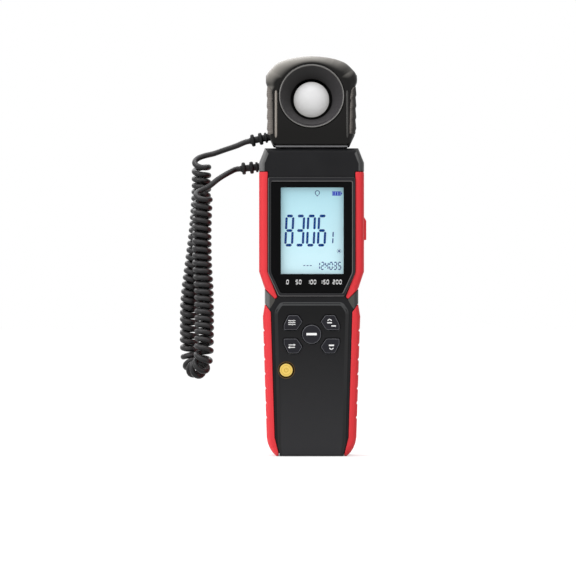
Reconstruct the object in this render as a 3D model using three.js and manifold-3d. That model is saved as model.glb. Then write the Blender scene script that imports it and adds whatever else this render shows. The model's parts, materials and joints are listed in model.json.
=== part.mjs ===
// Handheld lux meter: a display and keypad body with red grips, and a light sensor head
// that plugs in on top and hangs on a curly cord.
// Millimetres. X runs to the right, Y away from the viewer and Z up; the origin is the middle of the base.

import * as THREE from "three";
import { mergeVertices } from "three/addons/utils/BufferGeometryUtils.js";
import Module from "manifold-3d";

const wasm = await Module();
wasm.setup();

// Meter body
const bodyWidth = 52.6;
const bodyDepth = 30;
const baseWidth = 35.2;
const footHeight = 9.5;
const footBulgeAcrossShare = 0.89;
const footBulgeUpShare = 0.38;
const handleLowWidth = 45;
const handleTopWidth = 48.8;
const handleHeight = 76;
const handleShoulder = 6;
const waistStep = 2.85;
const waistHeight = 8;
const flareHeight = 8.5;
const displayHeight = 54.5;
const capHeight = 7.25;
const capChamfer = 2.9;
const edgeAcross = 2.8;
const edgeDeep = 3.5;
const caseWall = 2.2;
const partingOffset = 2.5;
const fit = 0.3;
const overrun = 5;

// Red grips
const gripThickness = 1.2;
const gripBedMargin = 0.3;
const gripBand = 4.4;
const gripBackBand = 3.5;
const gripTopDrop = 4.6;
const gripTailReach = 6.35;
const gripTailDrop = 4.2;
const gripTipReach = 5.1;
const gripTipDrop = 5.3;
const handleGripBand = 4;
const handleGripCorner = 3.8;
const handleGripFoot = 1.2;
const handleGripTip = 0.35;
const scallopCount = 7;
const scallopPitch = 7.28;
const scallopTopDrop = 13.25;
const scallopDepth = 0.7;
const scallopSpan = 2.6;

// Display
const frameBorder = 1.5;
const frameRise = 0.8;
const lensSideMargin = 6.15;
const lensFootInset = 4.75;
const lensSlant = 10.3;
const lensBottomDrop = 2.3;
const lensTopDrop = 9;
const lensThickness = 1;
const lensSink = 0.2;
const viewSideMargin = 4.15;
const viewHeight = 43.5;
const viewTopDrop = 3.3;
const glassMarginAcross = 2;
const glassMarginUp = 3.25;
const lcdThickness = 2.5;
const backlightThickness = 2.6;
const backlightMargin = 0.5;
const lcdFrameWall = 1.2;
const zebraHeight = 2.2;
const zebraMargin = 3;

// Circuit board
const boardThickness = 1.6;
const boardBottom = 8;
const boardSideGap = 0.9;
const handleBoardWidth = 33;
const bossGap = 0.6;

// Keypad
const panelRise = 0.5;
const panelBottom = 6;
const panelTopRise = 0.6;
const panelLowWidth = 32.4;
const panelTopWidth = 35.4;
const panelCorner = 3.4;
const padDrop = 14.9;
const padWidth = 27.8;
const padHeight = 19;
const keyRise = 0.9;
const keyTravel = 0.8;
const keySlack = 0.15;
const keyFlange = 0.6;
const keyFlangeThickness = 1;
const plungerRadius = 1.5;
const centerKeyRadius = 4.75;
const powerKeyRadius = 3.35;
const powerKeyDrop = 32.8;
const powerKeyOffset = 12.7;
const powerRimWidth = 0.65;
const powerRimSink = 0.4;
const matThickness = 0.9;
const matBorder = 1.6;
const domeRadius = 2.5;
const domeHeight = 1.1;

// USB socket and its cover
const usbRise = 20.4;
const usbSocketLength = 7.4;
const usbSocketThickness = 3.2;
const usbSocketWidth = 8.9;
const usbShell = 0.4;
const usbMouthDepth = 5.5;
const usbOverhang = 0.2;
const usbPocketWidth = 9.8;
const usbPocketDepth = 6;
const usbCoverWidth = 9;
const usbCoverTop = 7.15;
const usbCoverBottom = 7.2;
const usbCoverLip = 2.7;
const usbCoverLipRise = 0.15;
const usbCoverRise = 1.2;
const usbCoverSlope = 2.1;
const usbCoverSink = 0.3;

// Batteries, their compartment and its cover
const cellRadius = 5.25;
const cellLength = 44.5;
const cellNubRadius = 1.9;
const cellNubHeight = 1;
const cellCount = 3;
const compartmentBottom = 8;
const compartmentWall = 1.2;
const compartmentEndWall = 1.5;
const contactRoom = 3;
const contactThickness = 0.5;
const contactHeight = 6;
const contactTipRadius = 2.2;
const contactBaseRadius = 2.8;
const coverThickness = 1.8;
const coverBottom = 6;
const coverTop = 70;
const coverLap = 0.4;
const coverScrewDrop = 4;
const screwBlockWidth = 16;
const screwBlockDepth = 8;
const insertRadius = 2.3;
const insertLength = 4.5;
const insertClearance = 0.6;

// Screws
const screwRadius = 1.3;
const screwHeadRadius = 2.4;
const screwHeadHeight = 1.6;
const screwLength = 11;
const screwSink = 2.4;
const coverScrewLength = 7;
const coverScrewHeadHeight = 0.9;
const bossRadius = 2.6;
const rearBossRadius = 3.2;
const driveRadius = 1.1;
const driveDepth = 0.8;
const topScrewInset = 9.1;
const topScrewDrop = 6.05;
const lowScrewInset = 5.95;
const lowScrewDrop = 4;

// Dock between the meter and the sensor head
const dockSideMargin = 12.8;
const dockThickness = 11;
const dockDepth = 13.25;
const dockWall = 1.2;
const dockOffset = -1;
const tongueDepth = 10.3;
const headGap = 1.05;
const plinthGap = 0.3;
const plinthWidth = 32.4;
const plinthThickness = 19;
const plinthHeight = 3.05;
const plinthFlange = 1.1;
const plinthFlangeHeight = 1.2;

// Sensor head
const headBaseWidth = 38.2;
const headLowWidth = 43.5;
const headLowRise = 5.7;
const headFlankWidth = 44.4;
const headFlankRise = 30.55;
const headShoulderWidth = 45.9;
const headShoulderRise = 32.45;
const headShoulderTop = 36;
const headCrownWidth = 35.2;
const headCrownRise = 41.8;
const headHeight = 44.95;
const headDepth = 28;
const headOffset = -1;
const headWall = 2;
const headEdgeAcross = 2.4;
const headEdgeDeep = 3;
const headTopFrontRound = 8;
const headTopBackRound = 6;
const headPartingOffset = 0;
const faceLean = THREE.MathUtils.degToRad(12);
const chinHeight = 7.7;
const headGripBottom = 7.6;
const headGripTop = 30.3;
const headGripDepth = 21;
const headGripThickness = 1;
const headGripRidges = 4;
const headGripRidgeHeight = 0.7;
const beadWidth = 1.7;
const beadHeight = 24;
const beadRise = 0.4;
const beadInset = 17.65;
const beadLift = 4;

// Recess of the sensor, its dome and the parts behind it, as depths from the leaning face
const recessRise = 25.2;
const recessRadius = 16.1;
const recessRim = 0.4;
const recessDepth = 10;
const recessFloorRadius = 10.2;
const bezelFlangeRadius = 17.2;
const bezelFlangeThickness = 1.2;
const bezelWall = 1.6;
const bezelSkirtDepth = 15;
const diffuserRadius = 9.1;
const diffuserWall = 1.5;
const diffuserFlange = 1.4;
const diffuserFlangeThickness = 1.2;
const filterRadius = 4.5;
const filterThickness = 1;
const diodeRadius = 4.1;
const diodeLength = 3;
const sensorBoardWidth = 26;
const sensorBoardHeight = 24.5;
const sensorBoardLift = 0.75;
const sensorBoardThickness = 1.6;
const headScrewLowOffset = 13.5;
const headScrewLowRise = 6.6;
const headScrewTopOffset = 15.5;
const headScrewTopRise = 36.8;
const headBossRadius = 2.4;
const headScrewRadius = 1.1;
const headScrewHeadRadius = 2;
const headScrewLength = 9;

// Cord and its strain reliefs
const cordDiameter = 2.6;
const coilRadius = 3.6;
const curlSteps = 8;
const curlSides = 5;
const leadSides = 8;
const leadStep = 5.2;
const reliefLength = 9;
const reliefTipLength = 0.8;
const reliefNeckRadius = 1.9;
const reliefCoreRadius = 1.7;
const reliefCollarRadius = 2.6;
const reliefCollarThickness = 1.2;
const reliefFinRadius = 3.1;
const reliefFinThickness = 1.8;
const reliefFinPitch = 4;
const reliefFinCount = 2;
const reliefFlangeRadius = 2.9;
const reliefFlangeThickness = 1.2;
const reliefLip = 1.5;
const reliefStandOff = 0.6;
const reliefPocketDepth = 5;
const headReliefRise = 4.9;
const headReliefFall = THREE.MathUtils.degToRad(12);
const bodyReliefDrop = 8.9;
const bodyReliefFall = THREE.MathUtils.degToRad(6);

// Facets of round shapes
const roundSides = 20;
const bossSides = 12;
const domeSides = 28;
const edgeSteps = 3;
const curveSteps = 4;
const weldDistance = 1e-3;
const phaseSamples = 4000;

// Widths that follow the body's
const waistWidth = bodyWidth - 2 * waistStep;
const topScrewOffset = bodyWidth / 2 - topScrewInset;
const lowScrewOffset = waistWidth / 2 - lowScrewInset;
const dockWidth = bodyWidth - 2 * dockSideMargin;
const lensWidth = bodyWidth - 2 * lensSideMargin;
const viewWidth = lensWidth - 2 * viewSideMargin;

// Heights and depths that several pieces share
const waistZ = handleHeight;
const flareZ = waistZ + waistHeight;
const shoulderZ = flareZ + flareHeight;
const capZ = shoulderZ + displayHeight;
const bodyTopZ = capZ + capHeight;
const frontY = -bodyDepth / 2;
const backY = bodyDepth / 2;
const wallInnerY = frontY + caseWall;
const sideInset = gripThickness + fit + caseWall + gripBedMargin;
const lcdFrontY = wallInnerY + fit;
const lcdBackY = lcdFrontY + lcdThickness;
const backlightFrontY = lcdBackY + fit;
const backlightBackY = backlightFrontY + backlightThickness;
const boardFrontY = backlightBackY + fit;
const boardBackY = boardFrontY + boardThickness;
const lensTopZ = capZ - lensTopDrop;
const lensBottomZ = flareZ - lensBottomDrop;
const viewTopZ = lensTopZ - viewTopDrop;
const viewBottomZ = viewTopZ - viewHeight;
const padZ = handleHeight - padDrop;
const powerKeyZ = handleHeight - powerKeyDrop;
const headZ = bodyTopZ + headGap;

const finishes = {
  case: { color: 0x2e2e30, roughness: 0.55, metalness: 0 },
  grip: { color: 0xf04045, roughness: 0.6, metalness: 0 },
  rubber: { color: 0x232325, roughness: 0.75, metalness: 0 },
  lens: { color: 0x0e0e10, roughness: 0.08, metalness: 0, transparent: true, opacity: 0.4 },
  lcd: { color: 0xbfe3ec, roughness: 0.3, metalness: 0 },
  lightGuide: { color: 0xf2f4f2, roughness: 0.4, metalness: 0 },
  whitePlastic: { color: 0xe8e8e6, roughness: 0.5, metalness: 0 },
  board: { color: 0x1f5a35, roughness: 0.5, metalness: 0 },
  elastomer: { color: 0xd98aa0, roughness: 0.8, metalness: 0 },
  silicone: { color: 0x8a8d90, roughness: 0.7, metalness: 0 },
  keyCap: { color: 0x34343a, roughness: 0.5, metalness: 0 },
  powerKey: { color: 0xe8c24e, roughness: 0.45, metalness: 0 },
  steel: { color: 0xb8babd, roughness: 0.3, metalness: 1 },
  darkSteel: { color: 0x3a3a3c, roughness: 0.4, metalness: 1 },
  brass: { color: 0xc8a24c, roughness: 0.35, metalness: 1 },
  cell: { color: 0x3c6e8f, roughness: 0.35, metalness: 0.4 },
  opal: { color: 0xebebea, roughness: 0.4, metalness: 0 },
  filter: { color: 0x6f9d78, roughness: 0.1, metalness: 0 },
  cord: { color: 0x262628, roughness: 0.6, metalness: 0 },
};

const meter = new THREE.Group();
const sensorHead = new THREE.Group();

const at = (x, y) => new THREE.Vector2(x, y);
const vec = (x, y, z) => new THREE.Vector3(x, y, z);

// Solids

// A closed mesh as a solid that can be joined and cut.
function solid(shape) {
  if (!(shape instanceof THREE.BufferGeometry)) return shape;
  const bare = new THREE.BufferGeometry();
  bare.setAttribute("position", shape.getAttribute("position"));
  bare.setIndex(shape.index);
  const merged = mergeVertices(bare, weldDistance);
  const mesh = new wasm.Mesh({
    numProp: 3,
    vertProperties: merged.attributes.position.array,
    triVerts: new Uint32Array(merged.index.array),
  });
  return new wasm.Manifold(mesh);
}

function join(...shapes) {
  return shapes.map(solid).reduce((whole, next) => whole.add(next));
}

function cut(shape, ...tools) {
  return tools.map(solid).reduce((rest, tool) => rest.subtract(tool), solid(shape));
}

function common(shape, other) {
  return solid(shape).intersect(solid(other));
}

function geometryOf(body) {
  const mesh = body.getMesh();
  const geometry = new THREE.BufferGeometry();
  geometry.setAttribute("position", new THREE.BufferAttribute(mesh.vertProperties, mesh.numProp));
  geometry.setIndex(new THREE.BufferAttribute(mesh.triVerts, 1));
  geometry.computeVertexNormals();
  return geometry;
}

// Hangs one named piece, with a material of its own, in a group.
function piece(name, shape, finish, group = meter) {
  const geometry = shape instanceof THREE.BufferGeometry ? shape : geometryOf(shape);
  const mesh = new THREE.Mesh(geometry, new THREE.MeshStandardMaterial(finish));
  mesh.name = name;
  group.add(mesh);
  return mesh;
}

// Outlines and basic shapes

// The right half of an outline, bottom to top, together with its mirror image.
function mirrored(half) {
  return [...half, ...half.map((p) => at(-p.x, p.y)).reverse()];
}

function meet(a, b) {
  const cross = a.along.cross(b.along);
  if (Math.abs(cross) < weldDistance) return b.at.clone();
  const between = b.at.clone().sub(a.at);
  return a.at.clone().addScaledVector(a.along, between.cross(b.along) / cross);
}

// Moves each edge inwards, upright edges by one distance and level ones by another.
function inset(points, distance, levelDistance = distance) {
  const lines = points.map((p, i) => {
    const along = points[(i + 1) % points.length].clone().sub(p).normalize();
    const inward = at(-along.y, along.x);
    const shift = Math.sign(distance) * Math.hypot(distance * inward.x, levelDistance * inward.y);
    return { at: p.clone().addScaledVector(inward, shift), along };
  });
  return lines.map((line, i) => meet(lines[(i + lines.length - 1) % lines.length], line));
}

const grown = (points, distance) => inset(points, -distance);

// An outline in X and Z, carried along Y from front to back, with its edges rounded where an edge is given.
function slab(points, front, back, edge = null) {
  const depth = back - front - (edge ? 2 * edge.deep : 0);
  const options = { depth, bevelEnabled: Boolean(edge), steps: 1 };
  if (edge) {
    options.bevelSize = edge.across;
    options.bevelOffset = -edge.across;
    options.bevelThickness = edge.deep;
    options.bevelSegments = edgeSteps;
  }
  const geometry = new THREE.ExtrudeGeometry(new THREE.Shape(points), options);
  geometry.rotateX(Math.PI / 2);
  return geometry.translate(0, back - (edge ? edge.deep : 0), 0);
}

// An outline in X and Y, carried along Z.
function column(points, bottom, top) {
  const options = { depth: top - bottom, bevelEnabled: false, steps: 1 };
  return new THREE.ExtrudeGeometry(new THREE.Shape(points), options).translate(0, 0, bottom);
}

function block(low, high) {
  const size = high.clone().sub(low);
  const middle = low.clone().add(high).multiplyScalar(1 / 2);
  return new THREE.BoxGeometry(size.x, size.y, size.z).translate(middle.x, middle.y, middle.z);
}

// A profile of radius and height, turned about the line from base along direction.
function turned(profile, base, direction, sides = roundSides) {
  const upright = THREE.ShapeUtils.area(profile) < 0 ? [...profile].reverse() : profile;
  const closed = upright[0].x > 0 ? [...upright, upright[0].clone()] : upright;
  const geometry = new THREE.LatheGeometry(closed, sides);
  const turn = new THREE.Quaternion().setFromUnitVectors(vec(0, 1, 0), direction.clone().normalize());
  return geometry.applyQuaternion(turn).translate(base.x, base.y, base.z);
}

function rod(radius, from, to, sides = roundSides, tipRadius = radius) {
  const along = to.clone().sub(from);
  const length = along.length();
  const profile = [at(0, 0), at(radius, 0), at(tipRadius, length), at(0, length)];
  return turned(profile, from, along, sides);
}

// A rod along Y at a place on the front.
const pin = (radius, x, z, front, back, sides = bossSides) =>
  rod(radius, vec(x, front, z), vec(x, back, z), sides);

function rectangle(left, right, bottom, top) {
  return [at(left, bottom), at(right, bottom), at(right, top), at(left, top)];
}

const flip = (points) => points.map((p) => at(-p.x, p.y)).reverse();

// Meter body envelope and grips

function bodyOutline() {
  const bulgeWidth = THREE.MathUtils.lerp(baseWidth, handleLowWidth, footBulgeAcrossShare);
  const foot = new THREE.QuadraticBezierCurve(
    at(baseWidth / 2, 0),
    at(bulgeWidth / 2, footBulgeUpShare * footHeight),
    at(handleLowWidth / 2, footHeight),
  );
  return mirrored([
    ...foot.getPoints(curveSteps),
    at(handleTopWidth / 2, waistZ - handleShoulder),
    at(waistWidth / 2, waistZ),
    at(waistWidth / 2, flareZ),
    at(bodyWidth / 2, shoulderZ),
    at(bodyWidth / 2, capZ),
    at(bodyWidth / 2 - capChamfer, bodyTopZ),
  ]);
}

const bodyShape = bodyOutline();

// The body's outer form, or the same form a distance further in.
function envelope(depth) {
  const share = 1 - depth / (2 * edgeAcross);
  const edge = { across: edgeAcross * share, deep: edgeDeep * share };
  return slab(inset(bodyShape, depth), frontY + depth, backY - depth, edge);
}

function upperGripOutline() {
  return [
    at(waistWidth / 2 - gripTipReach, flareZ - gripTipDrop),
    at(waistWidth / 2, flareZ),
    at(bodyWidth / 2 + overrun, flareZ),
    at(bodyWidth / 2 + overrun, capZ - gripTopDrop),
    at(bodyWidth / 2 - gripBand, capZ - gripTopDrop),
    at(bodyWidth / 2 - gripBand, shoulderZ),
    at(waistWidth / 2 - gripTailReach, flareZ - gripTailDrop),
  ];
}

function lowerGripOutline() {
  const footX = baseWidth / 2 - handleGripFoot;
  return [
    at(footX, -overrun),
    at(bodyWidth / 2 + overrun, -overrun),
    at(bodyWidth / 2 + overrun, waistZ),
    at(waistWidth / 2 - handleGripTip, waistZ),
    at(handleTopWidth / 2 - handleGripBand, waistZ - handleGripCorner),
    at(handleLowWidth / 2 - handleGripBand, footHeight),
    at(footX, handleGripFoot),
  ];
}

// Where a grip lies: a wide band on the front and a narrow one on the back, both widened
// by a gap for its bed.
function gripZone(outline, backLeft, backBottom, backTop, gap) {
  const front = slab(grown(outline, gap), frontY - overrun, partingOffset + gap);
  const backBand = rectangle(backLeft - gap, bodyWidth / 2 + overrun, backBottom - gap, backTop + gap);
  const middle = slab(inset(bodyShape, gripBackBand + gap), frontY - overrun, backY + 2 * overrun);
  return join(front, cut(slab(backBand, partingOffset - gap, backY + overrun), middle));
}

const upperZone = (gap) => gripZone(upperGripOutline(), 0, flareZ, capZ - gripTopDrop, gap);
const lowerZone = (gap) =>
  gripZone(lowerGripOutline(), baseWidth / 2 - handleGripFoot, -overrun, waistZ, gap);

function mirrorX(shape) {
  return solid(shape).mirror([1, 0, 0]);
}

// The notch that ends each scallop of the lower grip's outer edge.
function scallopCuts() {
  const lowZ = footHeight;
  const topZ = waistZ - handleShoulder;
  return Array.from({ length: scallopCount }, (_, i) => {
    const z = waistZ - scallopTopDrop - i * scallopPitch;
    const edgeX = THREE.MathUtils.mapLinear(z, lowZ, topZ, handleLowWidth / 2, handleTopWidth / 2);
    const notch = [
      at(edgeX - scallopDepth, z),
      at(edgeX + scallopDepth, z - scallopSpan / 4),
      at(edgeX + scallopDepth, z + scallopSpan),
    ];
    return slab(notch, frontY - overrun, backY + overrun);
  });
}

const usbZ = shoulderZ + usbRise;
const usbY = boardBackY + fit + usbSocketThickness / 2;

// The shallow bed of the USB cover and the pocket behind it, through grip and case.
function usbCut(gap) {
  const outer = bodyWidth / 2;
  const bed = block(
    vec(outer - usbCoverSink - gap, usbY - usbCoverWidth / 2 - gap, usbZ - usbCoverBottom - gap),
    vec(outer + overrun, usbY + usbCoverWidth / 2 + gap, usbZ + usbCoverTop + gap),
  );
  const pocket = block(
    vec(outer - sideInset - usbOverhang, usbY - usbPocketDepth / 2, usbZ - usbPocketWidth / 2),
    vec(outer + overrun, usbY + usbPocketDepth / 2, usbZ + usbPocketWidth / 2),
  );
  return join(bed, pocket);
}

function buildGrips() {
  const layer = cut(envelope(0), envelope(gripThickness));
  const upper = common(layer, upperZone(0));
  const lower = cut(common(layer, lowerZone(0)), ...scallopCuts());
  piece("grip_upper_right", cut(upper, usbCut(fit)), finishes.grip);
  piece("grip_upper_left", mirrorX(upper), finishes.grip);
  piece("grip_lower_right", lower, finishes.grip);
  piece("grip_lower_left", mirrorX(lower), finishes.grip);
}

// Case

function lensOutline() {
  return mirrored([
    at(lensWidth / 2 - lensFootInset, lensBottomZ),
    at(lensWidth / 2, lensBottomZ + lensSlant),
    at(lensWidth / 2, lensTopZ),
  ]);
}

function panelOutline() {
  const topZ = waistZ + panelTopRise;
  return mirrored([
    at(panelLowWidth / 2, panelBottom),
    at(panelTopWidth / 2, topZ - panelCorner),
    at(panelTopWidth / 2 - panelCorner, topZ),
  ]);
}

const viewOutline = rectangle(-viewWidth / 2, viewWidth / 2, viewBottomZ, viewTopZ);

// Corners of the upper right key as shares of half the pad's width and height, measured from its middle.
const keyCornerShares = [
  [1, 0.229],
  [1, 0.512],
  [0.831, 1],
  [0.489, 1],
  [0.331, 0.662],
  [0.529, 0.229],
];

// One corner key; side and rise are 1 or -1 and say which corner.
function keyOutline(side, rise) {
  const corners = keyCornerShares.map(([x, z]) =>
    at((side * x * padWidth) / 2, padZ + (rise * z * padHeight) / 2),
  );
  return side * rise > 0 ? corners : corners.reverse();
}

function circle(radius, x, z, sides = roundSides) {
  return Array.from({ length: sides }, (_, i) => {
    const angle = (2 * Math.PI * i) / sides;
    return at(x + radius * Math.cos(angle), z + radius * Math.sin(angle));
  });
}

const keys = [
  { name: "key_upper_left", outline: keyOutline(-1, 1) },
  { name: "key_upper_right", outline: keyOutline(1, 1) },
  { name: "key_lower_left", outline: keyOutline(-1, -1) },
  { name: "key_lower_right", outline: keyOutline(1, -1) },
  { name: "key_center", outline: circle(centerKeyRadius, 0, padZ) },
  { name: "key_power", outline: circle(powerKeyRadius, -powerKeyOffset, powerKeyZ) },
];

const caseScrews = [-1, 1].flatMap((side) => [
  { x: side * topScrewOffset, z: bodyTopZ - topScrewDrop },
  { x: side * lowScrewOffset, z: flareZ - lowScrewDrop },
]);

const dockFrontY = dockOffset - dockThickness / 2;
const dockBackY = dockOffset + dockThickness / 2;

function dockCut() {
  return block(
    vec(-dockWidth / 2 - fit, dockFrontY - fit, bodyTopZ - dockDepth),
    vec(dockWidth / 2 + fit, dockBackY + fit, bodyTopZ + overrun),
  );
}

// The body's skin with the beds of the grips and the hollow inside, before it is parted in two.
function hollowCase() {
  const frame = slab(grown(lensOutline(), frameBorder), frontY - frameRise, frontY + caseWall / 2);
  const panel = slab(panelOutline(), frontY - panelRise, frontY + caseWall / 2);
  const bed = envelope(gripThickness + fit);
  const zones = [upperZone(fit), lowerZone(fit)];
  const beds = zones.flatMap((zone) => {
    const cutter = cut(zone, bed);
    return [cutter, mirrorX(cutter)];
  });
  const cavity = slab(inset(bodyShape, sideInset, caseWall), wallInnerY, backY - caseWall);
  return cut(join(envelope(0), frame, panel), ...beds, cavity, dockCut(), reliefCut(bodyRelief));
}

function buildFrontCase(hollow) {
  const half = block(
    vec(-bodyWidth, frontY - overrun, -overrun),
    vec(bodyWidth, partingOffset, bodyTopZ + overrun),
  );
  const bosses = caseScrews.map(({ x, z }) => pin(bossRadius, x, z, wallInnerY - fit, partingOffset));
  const pilots = caseScrews.map(({ x, z }) =>
    pin(screwRadius + fit, x, z, wallInnerY, partingOffset + overrun),
  );
  const lensPocket = slab(grown(lensOutline(), fit), frontY - overrun, lensFrontY + lensThickness + fit);
  const window = slab(grown(viewOutline, fit), frontY - overrun, wallInnerY + fit);
  const keyHoles = keys.map(({ outline }) => slab(grown(outline, fit), frontY - overrun, wallInnerY + fit));
  const powerRim = pin(
    powerKeyRadius + powerRimWidth,
    -powerKeyOffset,
    powerKeyZ,
    frontY - overrun,
    frontY - panelRise + powerRimSink,
    roundSides,
  );
  const shell = join(common(hollow, half), ...bosses);
  piece(
    "front_case",
    cut(shell, ...pilots, lensPocket, window, ...keyHoles, powerRim, usbCut(fit)),
    finishes.case,
  );
}

const lensFrontY = frontY - frameRise + lensSink;
const cellRowWidth = cellCount * 2 * cellRadius + (cellCount - 1) * fit;
const cellRoomWidth = cellRowWidth + 2 * fit;
const cellY = backY - coverThickness - fit - cellRadius;
const cellBottomZ = compartmentBottom + compartmentEndWall + contactRoom;
const cellTopZ = cellBottomZ + cellLength;
const compartmentTopZ = cellTopZ + contactRoom + compartmentEndWall;
const compartmentFloorY = cellY - cellRadius - fit;
const coverWidth = cellRoomWidth + 2 * coverLap;
const coverFrontY = backY - coverThickness;
const coverScrewZ = coverTop - coverScrewDrop;
const insertBackY = coverFrontY - fit;

// The compartment's section across the cells, with its two front corners cut off along the
// outer cells' rounding.
function compartmentSection(wall, backEnd) {
  const halfWidth = cellRoomWidth / 2 + wall;
  const front = compartmentFloorY - wall;
  const corner = (2 - Math.SQRT2) * (cellRadius + fit + wall);
  return [
    at(-halfWidth + corner, front),
    at(halfWidth - corner, front),
    at(halfWidth, front + corner),
    at(halfWidth, backEnd),
    at(-halfWidth, backEnd),
    at(-halfWidth, front + corner),
  ];
}

function buildRearCase(hollow) {
  const half = block(
    vec(-bodyWidth, partingOffset + fit, -overrun),
    vec(bodyWidth, backY + overrun, bodyTopZ + overrun),
  );
  const coverHole = block(
    vec(-coverWidth / 2 - fit, backY - caseWall - fit, coverBottom - fit),
    vec(coverWidth / 2 + fit, backY + overrun, coverTop + fit),
  );
  const bosses = caseScrews.map(({ x, z }) =>
    pin(rearBossRadius, x, z, partingOffset + fit, backY - caseWall / 2),
  );
  const compartment = column(
    compartmentSection(compartmentWall, coverFrontY - fit),
    compartmentBottom,
    compartmentTopZ,
  );
  const cellRoom = column(
    compartmentSection(0, backY + overrun),
    compartmentBottom + compartmentEndWall,
    compartmentTopZ - compartmentEndWall,
  );
  const screwBlock = block(
    vec(-screwBlockWidth / 2, insertBackY - screwBlockDepth, compartmentTopZ - compartmentEndWall),
    vec(screwBlockWidth / 2, insertBackY, coverTop + compartmentWall),
  );
  const insertEndY = insertBackY - insertLength - fit;
  const insertHole = pin(insertRadius + fit, 0, coverScrewZ, insertEndY, backY + overrun);
  const tipHole = pin(
    screwRadius + insertClearance,
    0,
    coverScrewZ,
    insertBackY - screwBlockDepth + compartmentWall,
    backY,
  );
  const holes = caseScrews.flatMap(({ x, z }) => [
    pin(screwRadius + fit, x, z, partingOffset - overrun, backY + overrun),
    pin(screwHeadRadius + fit, x, z, backY - screwSink - screwHeadHeight - fit, backY + overrun),
  ]);
  const shell = cut(join(cut(common(hollow, half), coverHole), ...bosses), ...holes);
  const fitted = join(shell, compartment, screwBlock);
  piece("rear_case", cut(fitted, cellRoom, insertHole, tipHole), finishes.case);
}

// A pan head screw along Y with a cross recess, its head towards the back.
function screw(x, z, headBackY, length, radius, headRadius, headHeight = screwHeadHeight) {
  const headFrontY = headBackY - headHeight;
  const body = join(
    pin(headRadius, x, z, headFrontY, headBackY),
    pin(radius, x, z, headFrontY - length, headFrontY + headHeight / 2),
  );
  const arm = driveRadius / 4;
  const slots = [
    [driveRadius, arm],
    [arm, driveRadius],
  ].map(([across, up]) =>
    block(vec(x - across, headBackY - driveDepth, z - up), vec(x + across, headBackY + overrun, z + up)),
  );
  return cut(body, ...slots);
}

function buildCaseScrews() {
  caseScrews.forEach(({ x, z }, i) => {
    const shape = screw(x, z, backY - screwSink, screwLength, screwRadius, screwHeadRadius);
    piece(`case_screw_${i + 1}`, shape, finishes.darkSteel);
  });
}

// Display stack

function buildDisplay() {
  piece("display_lens", slab(lensOutline(), lensFrontY, lensFrontY + lensThickness), finishes.lens);
  const glass = rectangle(
    -viewWidth / 2 - glassMarginAcross,
    viewWidth / 2 + glassMarginAcross,
    viewBottomZ - glassMarginUp,
    viewTopZ + glassMarginUp,
  );
  piece("lcd_panel", slab(glass, lcdFrontY, lcdBackY), finishes.lcd);
  const zebraBottomZ = viewBottomZ - glassMarginUp + fit;
  const backlight = rectangle(
    -viewWidth / 2 - backlightMargin,
    viewWidth / 2 + backlightMargin,
    zebraBottomZ + zebraHeight + fit,
    viewTopZ + backlightMargin,
  );
  piece("lcd_backlight", slab(backlight, backlightFrontY, backlightBackY), finishes.lightGuide);
  const zebraHalf = viewWidth / 2 + glassMarginAcross - zebraMargin;
  const zebra = rectangle(-zebraHalf, zebraHalf, zebraBottomZ, zebraBottomZ + zebraHeight);
  piece("zebra_strip", slab(zebra, backlightFrontY, backlightBackY), finishes.elastomer);
  const room = grown(glass, fit);
  const frame = cut(
    slab(grown(room, lcdFrameWall), lcdFrontY, backlightBackY),
    slab(room, lcdFrontY - overrun, backlightBackY + overrun),
  );
  piece("lcd_frame", frame, finishes.whitePlastic);
}

// Circuit board, keypad mat and keys

function buildBoard() {
  const upperHalf = bodyWidth / 2 - sideInset - boardSideGap;
  const waistHalf = waistWidth / 2 - sideInset - bossGap;
  const neckHalf = lowScrewOffset - bossRadius - bossGap;
  const neckBottomZ = flareZ - lowScrewDrop - bossRadius - bossGap;
  const neckTopZ = flareZ - lowScrewDrop + bossRadius + bossGap;
  const topZ = bodyTopZ - dockDepth - bossGap;
  const outline = mirrored([
    at(handleBoardWidth / 2, boardBottom),
    at(handleBoardWidth / 2, neckBottomZ),
    at(neckHalf, neckBottomZ),
    at(neckHalf, neckTopZ),
    at(waistHalf, neckTopZ),
    at(upperHalf, shoulderZ),
    at(upperHalf, topZ),
  ]);
  piece("main_board", slab(outline, boardFrontY, boardBackY), finishes.board);
}

const matFrontY = boardFrontY - fit - matThickness;

function middleOf(outline) {
  const sum = outline.reduce((total, p) => total.add(p), at(0, 0));
  return sum.divideScalar(outline.length);
}

function buildKeypad() {
  const mat = rectangle(
    -padWidth / 2 - matBorder,
    padWidth / 2 + matBorder,
    powerKeyZ - powerKeyRadius - matBorder,
    padZ + padHeight / 2 + matBorder,
  );
  const domes = keys.map(({ outline }) => {
    const { x, y } = middleOf(outline);
    const root = vec(x, matFrontY + matThickness / 2, y);
    return rod(domeRadius, root, vec(x, matFrontY - domeHeight, y), bossSides, domeRadius / 2);
  });
  const sheet = slab(mat, matFrontY, matFrontY + matThickness);
  piece("keypad_mat", join(sheet, ...domes), finishes.silicone);
  const flangeFrontY = wallInnerY + fit;
  const flangeBackY = flangeFrontY + keyFlangeThickness;
  const plungerEndY = matFrontY - domeHeight - keySlack - keyTravel;
  keys.forEach(({ name, outline }) => {
    const { x, y } = middleOf(outline);
    const cap = slab(outline, frontY - panelRise - keyRise, flangeFrontY + keyFlangeThickness / 2);
    const flange = slab(grown(outline, fit + keyFlange), flangeFrontY, flangeBackY);
    const plunger = pin(plungerRadius, x, y, flangeBackY - keyFlangeThickness / 2, plungerEndY);
    piece(name, join(cap, flange, plunger), name === "key_power" ? finishes.powerKey : finishes.keyCap);
  });
}

// USB socket and cover

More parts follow.
